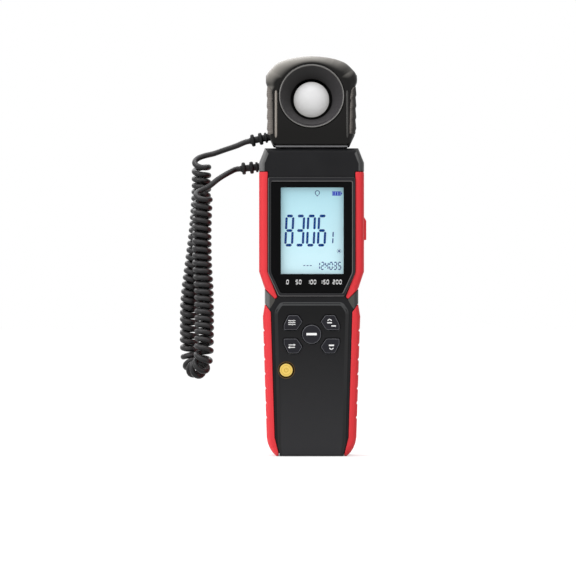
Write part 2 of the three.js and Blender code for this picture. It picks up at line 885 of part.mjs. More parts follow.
function buildUsb() {
  const mouthX = bodyWidth / 2 - sideInset - boardSideGap + usbOverhang;
  const low = vec(mouthX - usbSocketLength, usbY - usbSocketThickness / 2, usbZ - usbSocketWidth / 2);
  const high = vec(mouthX, usbY + usbSocketThickness / 2, usbZ + usbSocketWidth / 2);
  const mouth = block(
    vec(mouthX - usbMouthDepth, low.y + usbShell, low.z + usbShell),
    vec(mouthX + overrun, high.y - usbShell, high.z - usbShell),
  );
  const tongue = block(
    vec(low.x + usbShell, usbY - usbShell, low.z + 4 * usbShell),
    vec(mouthX - usbShell, usbY + usbShell, high.z - 4 * usbShell),
  );
  piece("usb_socket", join(cut(block(low, high), mouth), tongue), finishes.steel);
  const outer = bodyWidth / 2;
  const inner = outer - usbCoverSink;
  const proud = outer + usbCoverRise;
  const outline = [
    at(inner, usbZ - usbCoverBottom),
    at(outer, usbZ - usbCoverBottom),
    at(outer + usbCoverLipRise, usbZ - usbCoverBottom + usbCoverLip),
    at(proud, usbZ - usbCoverBottom + usbCoverLip),
    at(proud, usbZ + usbCoverTop - usbCoverSlope),
    at(outer, usbZ + usbCoverTop),
    at(inner, usbZ + usbCoverTop),
  ];
  const cover = slab(outline, usbY - usbCoverWidth / 2, usbY + usbCoverWidth / 2);
  piece("usb_cover", cover, finishes.grip);
}

// Batteries, contacts and cover

const cellPlaces = Array.from({ length: cellCount }, (_, i) => ({
  x: (i - (cellCount - 1) / 2) * (2 * cellRadius + fit),
  up: i % 2 === 0,
}));

function buildCells() {
  cellPlaces.forEach(({ x, up }, i) => {
    const profile = [
      at(0, 0),
      at(cellRadius, 0),
      at(cellRadius, cellLength - cellNubHeight),
      at(cellNubRadius, cellLength - cellNubHeight),
      at(cellNubRadius, cellLength),
      at(0, cellLength),
    ];
    const base = vec(x, cellY, up ? cellBottomZ : cellTopZ);
    piece(`battery_${i + 1}`, turned(profile, base, vec(0, 0, up ? 1 : -1)), finishes.cell);
  });
}

// A contact plate against an end wall, with a tip that reaches out to each cell it serves.
function contact(name, cells, atTop) {
  const wallZ = atTop ? cellTopZ + contactRoom - fit : cellBottomZ - contactRoom + fit;
  const inward = atTop ? -1 : 1;
  const reach = contactRoom - 2 * fit;
  const xs = cells.map((i) => cellPlaces[i].x);
  const left = Math.min(...xs) - cellRadius + 4 * fit;
  const right = Math.max(...xs) + cellRadius - 4 * fit;
  const faceZ = wallZ + inward * contactThickness;
  const plate = block(
    vec(left, cellY - contactHeight / 2, Math.min(wallZ, faceZ)),
    vec(right, cellY + contactHeight / 2, Math.max(wallZ, faceZ)),
  );
  const tips = xs.map((x) => {
    const root = vec(x, cellY, wallZ + (inward * contactThickness) / 2);
    const tip = vec(x, cellY, wallZ + inward * reach);
    return rod(contactBaseRadius, root, tip, bossSides, contactTipRadius);
  });
  piece(name, join(plate, ...tips), finishes.steel);
}

function buildContacts() {
  contact("contact_negative", [0], false);
  contact("contact_link_top", [0, 1], true);
  contact("contact_link_bottom", [1, 2], false);
  contact("contact_positive", [2], true);
}

function buildBatteryCover() {
  const plate = block(
    vec(-coverWidth / 2, coverFrontY, coverBottom),
    vec(coverWidth / 2, backY, coverTop),
  );
  const sinkY = backY - coverScrewHeadHeight - fit;
  const holes = [
    pin(screwRadius + fit, 0, coverScrewZ, coverFrontY - overrun, backY + overrun),
    pin(screwHeadRadius + fit, 0, coverScrewZ, sinkY, backY + overrun),
  ];
  piece("battery_cover", cut(plate, ...holes), finishes.case);
  const shape = screw(
    0,
    coverScrewZ,
    backY,
    coverScrewLength,
    screwRadius,
    screwHeadRadius,
    coverScrewHeadHeight,
  );
  piece("battery_cover_screw", shape, finishes.darkSteel);
  const insert = cut(
    pin(insertRadius, 0, coverScrewZ, insertBackY - insertLength, insertBackY),
    pin(screwRadius + insertClearance, 0, coverScrewZ, insertBackY - 2 * insertLength, backY),
  );
  piece("cover_thread_insert", insert, finishes.brass);
}

// Dock

function buildDock() {
  const half = dockWidth / 2;
  const bottomZ = bodyTopZ - dockDepth;
  const cup = cut(
    block(vec(-half, dockFrontY, bottomZ), vec(half, dockBackY, bodyTopZ)),
    block(
      vec(-half + dockWall, dockFrontY + dockWall, bottomZ + dockWall),
      vec(half - dockWall, dockBackY - dockWall, bodyTopZ + overrun),
    ),
  );
  piece("dock_socket", cup, finishes.case);
  const plinthZ = bodyTopZ + plinthGap;
  const plinthTopZ = plinthZ + plinthHeight;
  const plug = join(
    block(
      vec(-half + dockWall + fit, dockFrontY + dockWall + fit, bodyTopZ - tongueDepth),
      vec(half - dockWall - fit, dockBackY - dockWall - fit, plinthZ + plinthGap),
    ),
    block(
      vec(-plinthWidth / 2, headOffset - plinthThickness / 2, plinthZ),
      vec(plinthWidth / 2, headOffset + plinthThickness / 2, plinthTopZ),
    ),
    block(
      vec(-plinthWidth / 2 - plinthFlange, headOffset - plinthThickness / 2 - plinthFlange, plinthTopZ),
      vec(
        plinthWidth / 2 + plinthFlange,
        headOffset + plinthThickness / 2 + plinthFlange,
        plinthTopZ + plinthFlangeHeight,
      ),
    ),
  );
  piece("dock_plug", plug, finishes.rubber, sensorHead);
}

// Sensor head

function headOutline() {
  const crown = new THREE.QuadraticBezierCurve(
    at(headCrownWidth / 2, headZ + headCrownRise),
    at(headCrownWidth / 4, headZ + headHeight),
    at(0, headZ + headHeight),
  );
  const right = [
    at(headBaseWidth / 2, headZ),
    at(headLowWidth / 2, headZ + headLowRise),
    at(headFlankWidth / 2, headZ + headFlankRise),
    at(headShoulderWidth / 2, headZ + headShoulderRise),
    at(headShoulderWidth / 2, headZ + headShoulderTop),
    ...crown.getPoints(curveSteps),
  ];
  return [...right, ...right.slice(0, -1).map((p) => at(-p.x, p.y)).reverse()];
}

const headShape = headOutline();
const headFrontY = headOffset - headDepth / 2;
const headBackY = headOffset + headDepth / 2;
const chinZ = headZ + chinHeight;

// Shears a shape about the chin line so that its front leans back.
function leaned(geometry) {
  const shear = new THREE.Matrix4().set(
    1, 0, 0, 0,
    0, 1, Math.tan(faceLean), -chinZ * Math.tan(faceLean),
    0, 0, 1, 0,
    0, 0, 0, 1,
  );
  return geometry.applyMatrix4(shear);
}

// Everything below the rounded top of the head: a section in Y and Z, carried along X.
function topRounding(depth) {
  const top = headZ + headHeight - depth;
  const frontY = headFrontY + (top - chinZ) * Math.tan(faceLean) + depth;
  const backEdgeY = headBackY - depth;
  const section = new THREE.Shape();
  section.moveTo(headFrontY - overrun, headZ - overrun);
  section.lineTo(backEdgeY + overrun, headZ - overrun);
  section.lineTo(backEdgeY + overrun, top - headTopBackRound);
  section.lineTo(backEdgeY, top - headTopBackRound);
  section.quadraticCurveTo(backEdgeY, top, backEdgeY - headTopBackRound, top);
  section.lineTo(frontY + headTopFrontRound, top);
  const foldY = frontY - headTopFrontRound * Math.tan(faceLean);
  section.quadraticCurveTo(frontY, top, foldY, top - headTopFrontRound);
  section.lineTo(headFrontY - overrun, top - headTopFrontRound);
  const geometry = new THREE.ExtrudeGeometry(section, {
    depth: 2 * headShoulderWidth,
    bevelEnabled: false,
    steps: 1,
    curveSegments: curveSteps,
  });
  const turn = new THREE.Matrix4().set(
    0, 0, 1, -headShoulderWidth,
    1, 0, 0, 0,
    0, 1, 0, 0,
    0, 0, 0, 1,
  );
  return geometry.applyMatrix4(turn);
}

function headEnvelope(depth) {
  const share = 1 - depth / (2 * headEdgeAcross);
  const edge = { across: headEdgeAcross * share, deep: headEdgeDeep * share };
  const outline = inset(headShape, depth);
  const upright = slab(outline, headFrontY + depth, headBackY - depth, edge);
  const leaning = leaned(slab(outline, headFrontY + depth, headBackY + headDepth, edge));
  return common(common(upright, leaning), topRounding(depth));
}

const faceNormal = vec(0, -Math.cos(faceLean), Math.sin(faceLean));
const inward = faceNormal.clone().negate();
const recessZ = headZ + recessRise;
const faceMiddle = vec(0, headFrontY + (recessZ - chinZ) * Math.tan(faceLean), recessZ);
const depthPoint = (depth) => faceMiddle.clone().addScaledVector(inward, depth);

const headScrews = [-1, 1].flatMap((side) => [
  { x: side * headScrewLowOffset, z: headZ + headScrewLowRise },
  { x: side * headScrewTopOffset, z: headZ + headScrewTopRise },
]);

const headGripInnerX = headLowWidth / 2 - headGripThickness;
const headGripBottomZ = headZ + headGripBottom;
const headGripTopZ = headZ + headGripTop;

// The section of a head grip, with a row of shallow teeth on its outer side.
function headGripOutline() {
  const pitch = (headGripTopZ - headGripBottomZ) / headGripRidges;
  const valleyX = headLowWidth / 2 - headGripRidgeHeight / 2;
  const ridges = Array.from({ length: headGripRidges }, (_, i) => [
    at(valleyX, headGripBottomZ + i * pitch),
    at(valleyX + headGripRidgeHeight, headGripBottomZ + i * pitch + pitch / 4),
  ]).flat();
  return [
    at(headGripInnerX, headGripBottomZ),
    ...ridges,
    at(valleyX, headGripTopZ),
    at(headGripInnerX, headGripTopZ),
  ];
}

function buildHead() {
  const gripFrontY = headOffset - headGripDepth / 2;
  const gripBackY = headOffset + headGripDepth / 2;
  const gripBed = block(
    vec(headGripInnerX - fit, gripFrontY - fit, headGripBottomZ - fit),
    vec(headFlankWidth / 2 + overrun, gripBackY + fit, headGripTopZ + fit),
  );
  const plinthBed = block(
    vec(-plinthWidth / 2 - fit, headOffset - plinthThickness / 2 - fit, headZ - overrun),
    vec(plinthWidth / 2 + fit, headOffset + plinthThickness / 2 + fit, headZ + headWall + fit),
  );
  const beadZ = headZ + beadLift;
  const bead = rectangle(beadInset - beadWidth / 2, beadInset + beadWidth / 2, beadZ, beadZ + beadHeight);
  const beads = [bead, flip(bead)].map((outline) =>
    common(
      slab(outline, headFrontY - beadRise, headFrontY + headDepth / 2),
      leaned(slab(outline, headFrontY - beadRise, headFrontY + headDepth / 2)),
    ),
  );
  const bore = (radius, from, to) => rod(radius, depthPoint(from), depthPoint(to), domeSides);
  const wallHole = bore(recessRadius + recessRim + fit, -overrun, headWall + fit);
  const bezelRoom = bore(bezelFlangeRadius + fit, headWall, bezelSkirtDepth);
  const outer = join(headEnvelope(0), ...beads);
  const hollow = cut(
    outer,
    headEnvelope(headWall),
    gripBed,
    mirrorX(gripBed),
    plinthBed,
    wallHole,
    reliefCut(headRelief),
  );
  const front = block(
    vec(-bodyWidth, headFrontY - overrun, headZ - overrun),
    vec(bodyWidth, headPartingOffset, headZ + headHeight + overrun),
  );
  const rear = block(
    vec(-bodyWidth, headPartingOffset + fit, headZ - overrun),
    vec(bodyWidth, headBackY + overrun, headZ + headHeight + overrun),
  );
  const inside = headEnvelope(headWall / 2);
  const boss = (x, z, from, to) => common(pin(headBossRadius, x, z, from, to), inside);
  const frontBosses = headScrews.map(({ x, z }) => boss(x, z, headFrontY, headPartingOffset));
  const rearBosses = headScrews.map(({ x, z }) => boss(x, z, headPartingOffset + fit, headBackY));
  const seatY = headBackY - screwSink - screwHeadHeight - fit;
  const pilots = headScrews.map(({ x, z }) =>
    pin(headScrewRadius + fit, x, z, seatY - headScrewLength, headBackY),
  );
  const headHoles = headScrews.map(({ x, z }) =>
    pin(headScrewHeadRadius + fit, x, z, seatY, headBackY + overrun),
  );
  const frontShell = cut(join(common(hollow, front), ...frontBosses), ...pilots, bezelRoom);
  const rearShell = cut(join(common(hollow, rear), ...rearBosses), ...pilots, ...headHoles);
  piece("head_front_shell", frontShell, finishes.case, sensorHead);
  piece("head_rear_shell", rearShell, finishes.case, sensorHead);
  const grip = slab(headGripOutline(), gripFrontY, gripBackY);
  piece("head_grip_right", grip, finishes.rubber, sensorHead);
  piece("head_grip_left", mirrorX(grip), finishes.rubber, sensorHead);
  headScrews.forEach(({ x, z }, i) => {
    const shape = screw(x, z, headBackY - screwSink, headScrewLength, headScrewRadius, headScrewHeadRadius);
    piece(`head_screw_${i + 1}`, shape, finishes.darkSteel, sensorHead);
  });
}

function buildSensor() {
  const floorBack = recessDepth + bezelWall;
  const holeRadius = diffuserRadius + fit;
  const flangeFront = headWall + fit;
  const skirtInner = diffuserRadius + diffuserFlange + fit;
  const skirtOuter = skirtInner + bezelWall;
  const bezel = [
    at(recessRadius, 0),
    at(recessRadius + recessRim, 0),
    at(recessRadius + recessRim, flangeFront),
    at(bezelFlangeRadius, flangeFront),
    at(bezelFlangeRadius, flangeFront + bezelFlangeThickness),
    at(skirtOuter, recessDepth),
    at(skirtOuter, bezelSkirtDepth),
    at(skirtInner, bezelSkirtDepth),
    at(skirtInner, floorBack),
    at(holeRadius, floorBack),
    at(holeRadius, recessDepth),
    at(recessFloorRadius, recessDepth),
  ];
  piece("sensor_bezel", turned(bezel, faceMiddle, inward, domeSides), finishes.case, sensorHead);
  const dome = new THREE.Path();
  dome.absarc(0, recessDepth, diffuserRadius, -Math.PI / 2, 0, false);
  const hollow = new THREE.Path();
  hollow.absarc(0, recessDepth, diffuserRadius - diffuserWall, 0, -Math.PI / 2, true);
  const flangeZ = floorBack + fit;
  const flangeEnd = flangeZ + diffuserFlangeThickness;
  const profile = [
    ...dome.getPoints(curveSteps),
    at(diffuserRadius, flangeZ),
    at(diffuserRadius + diffuserFlange, flangeZ),
    at(diffuserRadius + diffuserFlange, flangeEnd),
    at(diffuserRadius - diffuserWall, flangeEnd),
    ...hollow.getPoints(curveSteps),
  ];
  profile[0].x = 0;
  profile[profile.length - 1].x = 0;
  piece("diffuser_dome", turned(profile, faceMiddle, inward, domeSides), finishes.opal, sensorHead);
  const boardFront = bezelSkirtDepth + fit;
  const diodeFront = boardFront - fit - diodeLength;
  const filterFront = diodeFront - fit - filterThickness;
  const filter = rod(filterRadius, depthPoint(filterFront), depthPoint(filterFront + filterThickness));
  piece("correction_filter", filter, finishes.filter, sensorHead);
  const diode = rod(diodeRadius, depthPoint(diodeFront), depthPoint(diodeFront + diodeLength));
  piece("photodiode", diode, finishes.darkSteel, sensorHead);
  const board = new THREE.BoxGeometry(sensorBoardWidth, sensorBoardThickness, sensorBoardHeight);
  board.translate(0, boardFront + sensorBoardThickness / 2, sensorBoardLift);
  board.rotateX(-faceLean).translate(faceMiddle.x, faceMiddle.y, faceMiddle.z);
  piece("sensor_board", board, finishes.board, sensorHead);
}

// Strain reliefs: root is the point on the shell's side, direction the way the cord leaves.

const bodyRelief = {
  root: vec(-bodyWidth / 2, partingOffset + fit / 2, bodyTopZ - bodyReliefDrop),
  direction: vec(-Math.cos(bodyReliefFall), 0, -Math.sin(bodyReliefFall)),
};
const headRelief = {
  root: vec(-headLowWidth / 2, headPartingOffset + fit / 2, headZ + headReliefRise),
  direction: vec(-Math.cos(headReliefFall), 0, -Math.sin(headReliefFall)),
};

function reliefPoint({ root, direction }, distance) {
  return root.clone().addScaledVector(direction, distance);
}

// The hole that the neck passes through and the pocket that holds the flange inside the shell.
function reliefCut(relief) {
  const inside = reliefPoint(relief, -reliefPocketDepth);
  const hole = rod(reliefNeckRadius + fit, reliefPoint(relief, overrun), inside, bossSides);
  const pocket = rod(reliefFlangeRadius + fit, reliefPoint(relief, -reliefLip), inside, bossSides);
  return join(hole, pocket);
}

function buildRelief(name, relief, group) {
  const flangeEnd = -reliefLip - fit;
  const collarEnd = reliefStandOff + reliefCollarThickness;
  const tip = reliefStandOff + reliefLength;
  const lastFin = tip - reliefTipLength - reliefFinThickness;
  const fins = Array.from({ length: reliefFinCount }, (_, i) => {
    const start = lastFin - (reliefFinCount - 1 - i) * reliefFinPitch;
    return [
      at(reliefCoreRadius, start),
      at(reliefFinRadius, start + reliefFinThickness / 4),
      at(reliefFinRadius, start + (3 * reliefFinThickness) / 4),
      at(reliefCoreRadius, start + reliefFinThickness),
    ];
  }).flat();
  const profile = [
    at(0, flangeEnd - reliefFlangeThickness),
    at(reliefFlangeRadius, flangeEnd - reliefFlangeThickness),
    at(reliefFlangeRadius, flangeEnd),
    at(reliefNeckRadius, flangeEnd),
    at(reliefNeckRadius, reliefStandOff),
    at(reliefCollarRadius, reliefStandOff),
    at(reliefCollarRadius, collarEnd),
    at(reliefCoreRadius, collarEnd),
    ...fins,
    at(reliefCoreRadius, tip),
    at(0, tip),
  ];
  piece(name, turned(profile, relief.root, relief.direction, bossSides), finishes.rubber, group);
}

// Cord

// Middle line of the coil, from the head's end down, round the bottom and up to the meter's
// end: x, y, z and pitch.
const coilRoute = [
  [-55.4, 2.6, 149.2, 6.6],
  [-55.45, 4.4, 145.2, 4.9],
  [-55.5, 5.3, 141, 3.6],
  [-55.6, 5.5, 132.75, 3.2],
  [-56.85, 5.6, 114.75, 3.3],
  [-59.15, 5.7, 95.75, 3.5],
  [-60.7, 5.8, 83.75, 3.55],
  [-61.4, 6.1, 72.75, 3.6],
  [-61.1, 7.4, 62, 3.9],
  [-60.4, 9.3, 54, 5],
  [-59.4, 7.2, 46.8, 5.9],
  [-58, 0, 43.9, 6],
  [-56.4, -7.2, 46.6, 5.9],
  [-55.6, -9.7, 54, 5.1],
  [-54.8, -7.9, 62, 4],
  [-53.95, -6.3, 72.75, 3.6],
  [-54.1, -5.8, 83.75, 3.6],
  [-54.85, -5.6, 95.75, 3.65],
  [-55.1, -5.5, 113.25, 3.65],
  [-54.7, -5.5, 124.5, 3.8],
  [-54.5, -6.2, 128.8, 4.8],
  [-54.5, -7.6, 132.6, 6.4],
];
// Places that each lead passes on its way from the coil to its strain relief.
const headLeadRoute = [
  [-49.5, 6.4, 152.1],
  [-44, 4, 153.9],
  [-37.5, 0.9, 156],
];
const meterLeadRoute = [
  [-46.4, -2.2, 139.4],
  [-40.6, 1, 142.9],
];

const coilCurve = new THREE.CatmullRomCurve3(
  coilRoute.map(([x, y, z]) => vec(x, y, z)),
  false,
  "centripetal",
);

// Turns made up to each of many samples along the middle line, from the pitch that the route gives.
function turnsAlong() {
  const last = coilRoute.length - 1;
  const turns = [0];
  let before = coilCurve.getPoint(0);
  for (let i = 1; i <= phaseSamples; i += 1) {
    const place = (i / phaseSamples) * last;
    const knot = Math.min(Math.floor(place), last - 1);
    const pitch = THREE.MathUtils.lerp(coilRoute[knot][3], coilRoute[knot + 1][3], place - knot);
    const now = coilCurve.getPoint(i / phaseSamples);
    turns.push(turns[i - 1] + now.distanceTo(before) / pitch);
    before = now;
  }
  return turns;
}

// The cord's own line in the coil: it goes round the middle line left-handed, from behind it to behind it.
function coilPath() {
  const turns = turnsAlong();
  const whole = Math.round(turns[phaseSamples] - 1 / 2) + 1 / 2;
  const scale = whole / turns[phaseSamples];
  const count = Math.round(whole * curlSteps);
  const path = [];
  let sample = 0;
  for (let i = 0; i <= count; i += 1) {
    const wanted = (i / count) * whole;
    while (sample < phaseSamples && turns[sample + 1] * scale < wanted) sample += 1;
    const low = turns[sample] * scale;
    const high = turns[Math.min(sample + 1, phaseSamples)] * scale;
    const part = high > low ? (wanted - low) / (high - low) : 0;
    const t = Math.min((sample + part) / phaseSamples, 1);
    const along = coilCurve.getTangent(t);
    const sideways = vec(1, 0, 0).addScaledVector(along, -along.x).normalize();
    const across = along.clone().cross(sideways);
    const angle = -Math.PI / 2 - 2 * Math.PI * wanted;
    const middle = coilCurve.getPoint(t);
    path.push(
      middle
        .addScaledVector(sideways, coilRadius * Math.cos(angle))
        .addScaledVector(across, coilRadius * Math.sin(angle)),
    );
  }
  return path;
}

// A closed tube round a line of points, with flat ends square to it.
function tube(points, radius, sides) {
  const last = points.length - 1;
  const positions = [];
  let across = null;
  points.forEach((p, i) => {
    const along = points[Math.min(i + 1, last)].clone().sub(points[Math.max(i - 1, 0)]).normalize();
    if (!across) across = vec(0, 0, 1);
    across = across.clone().addScaledVector(along, -across.dot(along)).normalize();
    const other = along.clone().cross(across);
    for (let k = 0; k < sides; k += 1) {
      const angle = (2 * Math.PI * k) / sides;
      const spot = p
        .clone()
        .addScaledVector(across, radius * Math.cos(angle))
        .addScaledVector(other, radius * Math.sin(angle));
      positions.push(spot.x, spot.y, spot.z);
    }
  });
  const index = [];
  for (let i = 0; i < last; i += 1) {
    for (let k = 0; k < sides; k += 1) {
      const a = i * sides + k;
      const b = i * sides + ((k + 1) % sides);
      index.push(a, b, b + sides, a, b + sides, a + sides);
    }
  }
  for (let k = 1; k < sides - 1; k += 1) {
    index.push(0, k + 1, k);
    index.push(last * sides, last * sides + k, last * sides + k + 1);
  }
  const geometry = new THREE.BufferGeometry();
  geometry.setAttribute("position", new THREE.Float32BufferAttribute(positions, 3));
  geometry.setIndex(index);
  geometry.computeVertexNormals();
  return geometry;
}

// The least distance between two points of the coil that are more than half a turn apart,
// less the cord's diameter.
function leastGap(path) {
  let least = Infinity;
  for (let i = 0; i < path.length; i += 1) {
    for (let k = i + Math.ceil(curlSteps / 2) + 1; k < path.length; k += 1) {
      least = Math.min(least, path[i].distanceTo(path[k]));
    }
  }
  return least - cordDiameter;
}

function lengthOf(path) {
  return path.slice(1).reduce((sum, p, i) => sum + p.distanceTo(path[i]), 0);
}

function beyond(end, before, distance) {
  return end.clone().addScaledVector(end.clone().sub(before).normalize(), distance);
}

// A lead from a coil end to a strain relief: straight and square at both ends, and smooth between.
function leadPath(coilEnd, coilBefore, route, relief) {
  const tip = reliefPoint(relief, reliefStandOff + reliefLength);
  const curve = new THREE.CatmullRomCurve3(
    [
      beyond(coilEnd, coilBefore, fit + cordDiameter),
      ...route.map(([x, y, z]) => vec(x, y, z)),
      tip.clone().addScaledVector(relief.direction, fit + cordDiameter),
    ],
    false,
    "centripetal",
  );
  const middle = curve.getSpacedPoints(Math.ceil(curve.getLength() / leadStep));
  const last = tip.clone().addScaledVector(relief.direction, fit);
  return [beyond(coilEnd, coilBefore, fit), ...middle, last];
}

function buildCord() {
  const coil = coilPath();
  const first = beyond(coil[0], coil[1], cordDiameter);
  const final = beyond(coil[coil.length - 1], coil[coil.length - 2], cordDiameter);
  const path = [first, ...coil, final];
  const headLead = leadPath(first, coil[0], headLeadRoute, headRelief).reverse();
  const meterLead = leadPath(final, coil[coil.length - 1], meterLeadRoute, bodyRelief);
  piece("cord_lead_head", tube(headLead, cordDiameter / 2, leadSides), finishes.cord);
  piece("curly_cord", tube(path, cordDiameter / 2, curlSides), finishes.cord);
  piece("cord_lead_meter", tube(meterLead, cordDiameter / 2, leadSides), finishes.cord);
  const length = lengthOf(path) + lengthOf(headLead) + lengthOf(meterLead);
  console.log(`curls ${((coil.length - 1) / curlSteps).toFixed(1)}`);
  console.log(`least gap of the coil to itself ${leastGap(coil).toFixed(2)} mm`);
  console.log(`cord length ${length.toFixed(0)} mm`);
}

const hollow = hollowCase();
buildFrontCase(hollow);
buildRearCase(hollow);
buildGrips();
buildCaseScrews();
buildDisplay();
buildBoard();
buildKeypad();
buildUsb();
buildCells();
buildContacts();
buildBatteryCover();
buildDock();
buildHead();
buildSensor();
buildRelief("meter_boot", bodyRelief, meter);
buildRelief("head_boot", headRelief, sensorHead);
buildCord();

const luxMeter = new THREE.Group();
luxMeter.add(meter, sensorHead);

export default luxMeter;
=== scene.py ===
"""Looks of a hand-held lux meter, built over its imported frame.

Metres, X to the right, Y away from the viewer and Z up; the origin is the middle of the meter's base.
Sizes in the classes are millimetres, as they are in the part's own source.
"""

import json
import logging
import math
from dataclasses import dataclass
from enum import Enum

import bmesh
import bpy
import numpy as np
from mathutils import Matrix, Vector
from mathutils.geometry import tessellate_polygon

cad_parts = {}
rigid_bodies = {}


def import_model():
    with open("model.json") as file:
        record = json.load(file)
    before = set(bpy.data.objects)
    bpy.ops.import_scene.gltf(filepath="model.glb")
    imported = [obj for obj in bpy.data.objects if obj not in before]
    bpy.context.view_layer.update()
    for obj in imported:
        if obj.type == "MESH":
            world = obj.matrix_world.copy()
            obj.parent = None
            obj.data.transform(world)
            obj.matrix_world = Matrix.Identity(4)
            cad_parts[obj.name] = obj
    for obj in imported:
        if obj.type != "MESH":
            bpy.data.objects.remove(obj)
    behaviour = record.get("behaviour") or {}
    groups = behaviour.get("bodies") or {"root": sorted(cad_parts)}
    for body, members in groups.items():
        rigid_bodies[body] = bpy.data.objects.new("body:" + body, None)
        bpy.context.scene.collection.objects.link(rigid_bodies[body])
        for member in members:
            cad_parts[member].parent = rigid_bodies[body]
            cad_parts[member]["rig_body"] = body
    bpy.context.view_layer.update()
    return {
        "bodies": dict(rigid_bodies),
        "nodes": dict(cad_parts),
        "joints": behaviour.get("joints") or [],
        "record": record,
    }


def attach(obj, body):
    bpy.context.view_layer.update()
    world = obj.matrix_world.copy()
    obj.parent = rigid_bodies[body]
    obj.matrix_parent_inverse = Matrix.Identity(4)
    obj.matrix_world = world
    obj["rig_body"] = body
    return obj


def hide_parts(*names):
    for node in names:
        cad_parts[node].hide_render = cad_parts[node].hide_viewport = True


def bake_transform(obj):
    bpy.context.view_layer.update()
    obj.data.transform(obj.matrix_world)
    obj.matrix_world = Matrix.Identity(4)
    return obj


log = logging.getLogger("lux_meter")

MM = 0.001
# What the lamps look at, in metres.
MIDDLE = Vector((0.0, 0.0, 0.1))
# How close points are, in metres, that become one point: in a new mesh, and in a CAD solid.
WELD = 1e-6
SOLID_WELD = 2e-6
# Angle in degrees up to which neighbouring faces of a CAD solid are one flat face.
FLAT_UP_TO = 1.0
# Least angle in degrees between two faces whose edge is rounded.
BEVELED_FROM = 30.0
# Y of a face's normal: a face that slopes back lies between the two.
FACES_FRONT = -0.985
FACES_ASIDE = -0.12

Array = np.ndarray
Color = tuple[float, float, float, float]
Point = tuple[float, float]
Place = tuple[float, float, float]
Tree = bpy.types.NodeTree
Node = bpy.types.Node
Socket = bpy.types.NodeSocket
Piece = bpy.types.Object


class Side(Enum):
    """The two sides of the meter, as the sign of X."""

    LEFT = -1
    RIGHT = 1


class Level(Enum):
    """The two rows of corner keys, as the sign of Z from the middle of the pad."""

    LOWER = -1
    UPPER = 1


class Body(Enum):
    """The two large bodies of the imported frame."""

    METER = "meter"
    HEAD = "sensor_head"


# Colours and nodes


def linear(code: str) -> Color:
    """Turns an sRGB hex value into a linear colour.

    Args:
        code: A hash sign and six hex digits.

    Returns:
        Red, green, blue and full alpha, linear.
    """
    channels = np.array([int(code[i : i + 2], 16) for i in (1, 3, 5)]) / 255
    curve = ((channels + 0.055) / 1.055) ** 2.4
    red, green, blue = np.where(channels <= 0.04045, channels / 12.92, curve)
    return (float(red), float(green), float(blue), 1.0)


def add_node(tree: Tree, kind: str, settings: dict | None = None, links: dict | None = None) -> Node:
    """Adds a node with its settings and links.

    Args:
        tree: The material's or the world's node tree.
        kind: The node's type name.
        settings: Values by the name of a property, or by the name or number of an input. Under stops
            it takes a ramp's places from 0 to 1, each with its sRGB hex value.
        links: Output sockets by the name or number of the input that each feeds.

    Returns:
        The new node.
    """
    node = tree.nodes.new(kind)
    for name, value in (settings or {}).items():
        if name == "stops":
            elements = node.color_ramp.elements
            while len(elements) < len(value):
                elements.new(0.5)
            for element, (place, code) in zip(elements, value):
                element.position, element.color = place, linear(code)
        elif isinstance(name, int) or name in node.inputs:
            node.inputs[name].default_value = value
        else:
            setattr(node, name, value)
    for name, socket in (links or {}).items():
        tree.links.new(socket, node.inputs[name])
    return node


def blobs(width: float, detail: float) -> dict[str, float]:
    """Gives a noise's settings: its scale is one over the width of a blob in metres.

    Args:
        width: Width of one blob in millimetres.
        detail: Octaves of finer noise.

    Returns:
        Values by the name of an input.
    """
    return {"Scale": 1 / (width * MM), "Detail": detail}


# Finishes


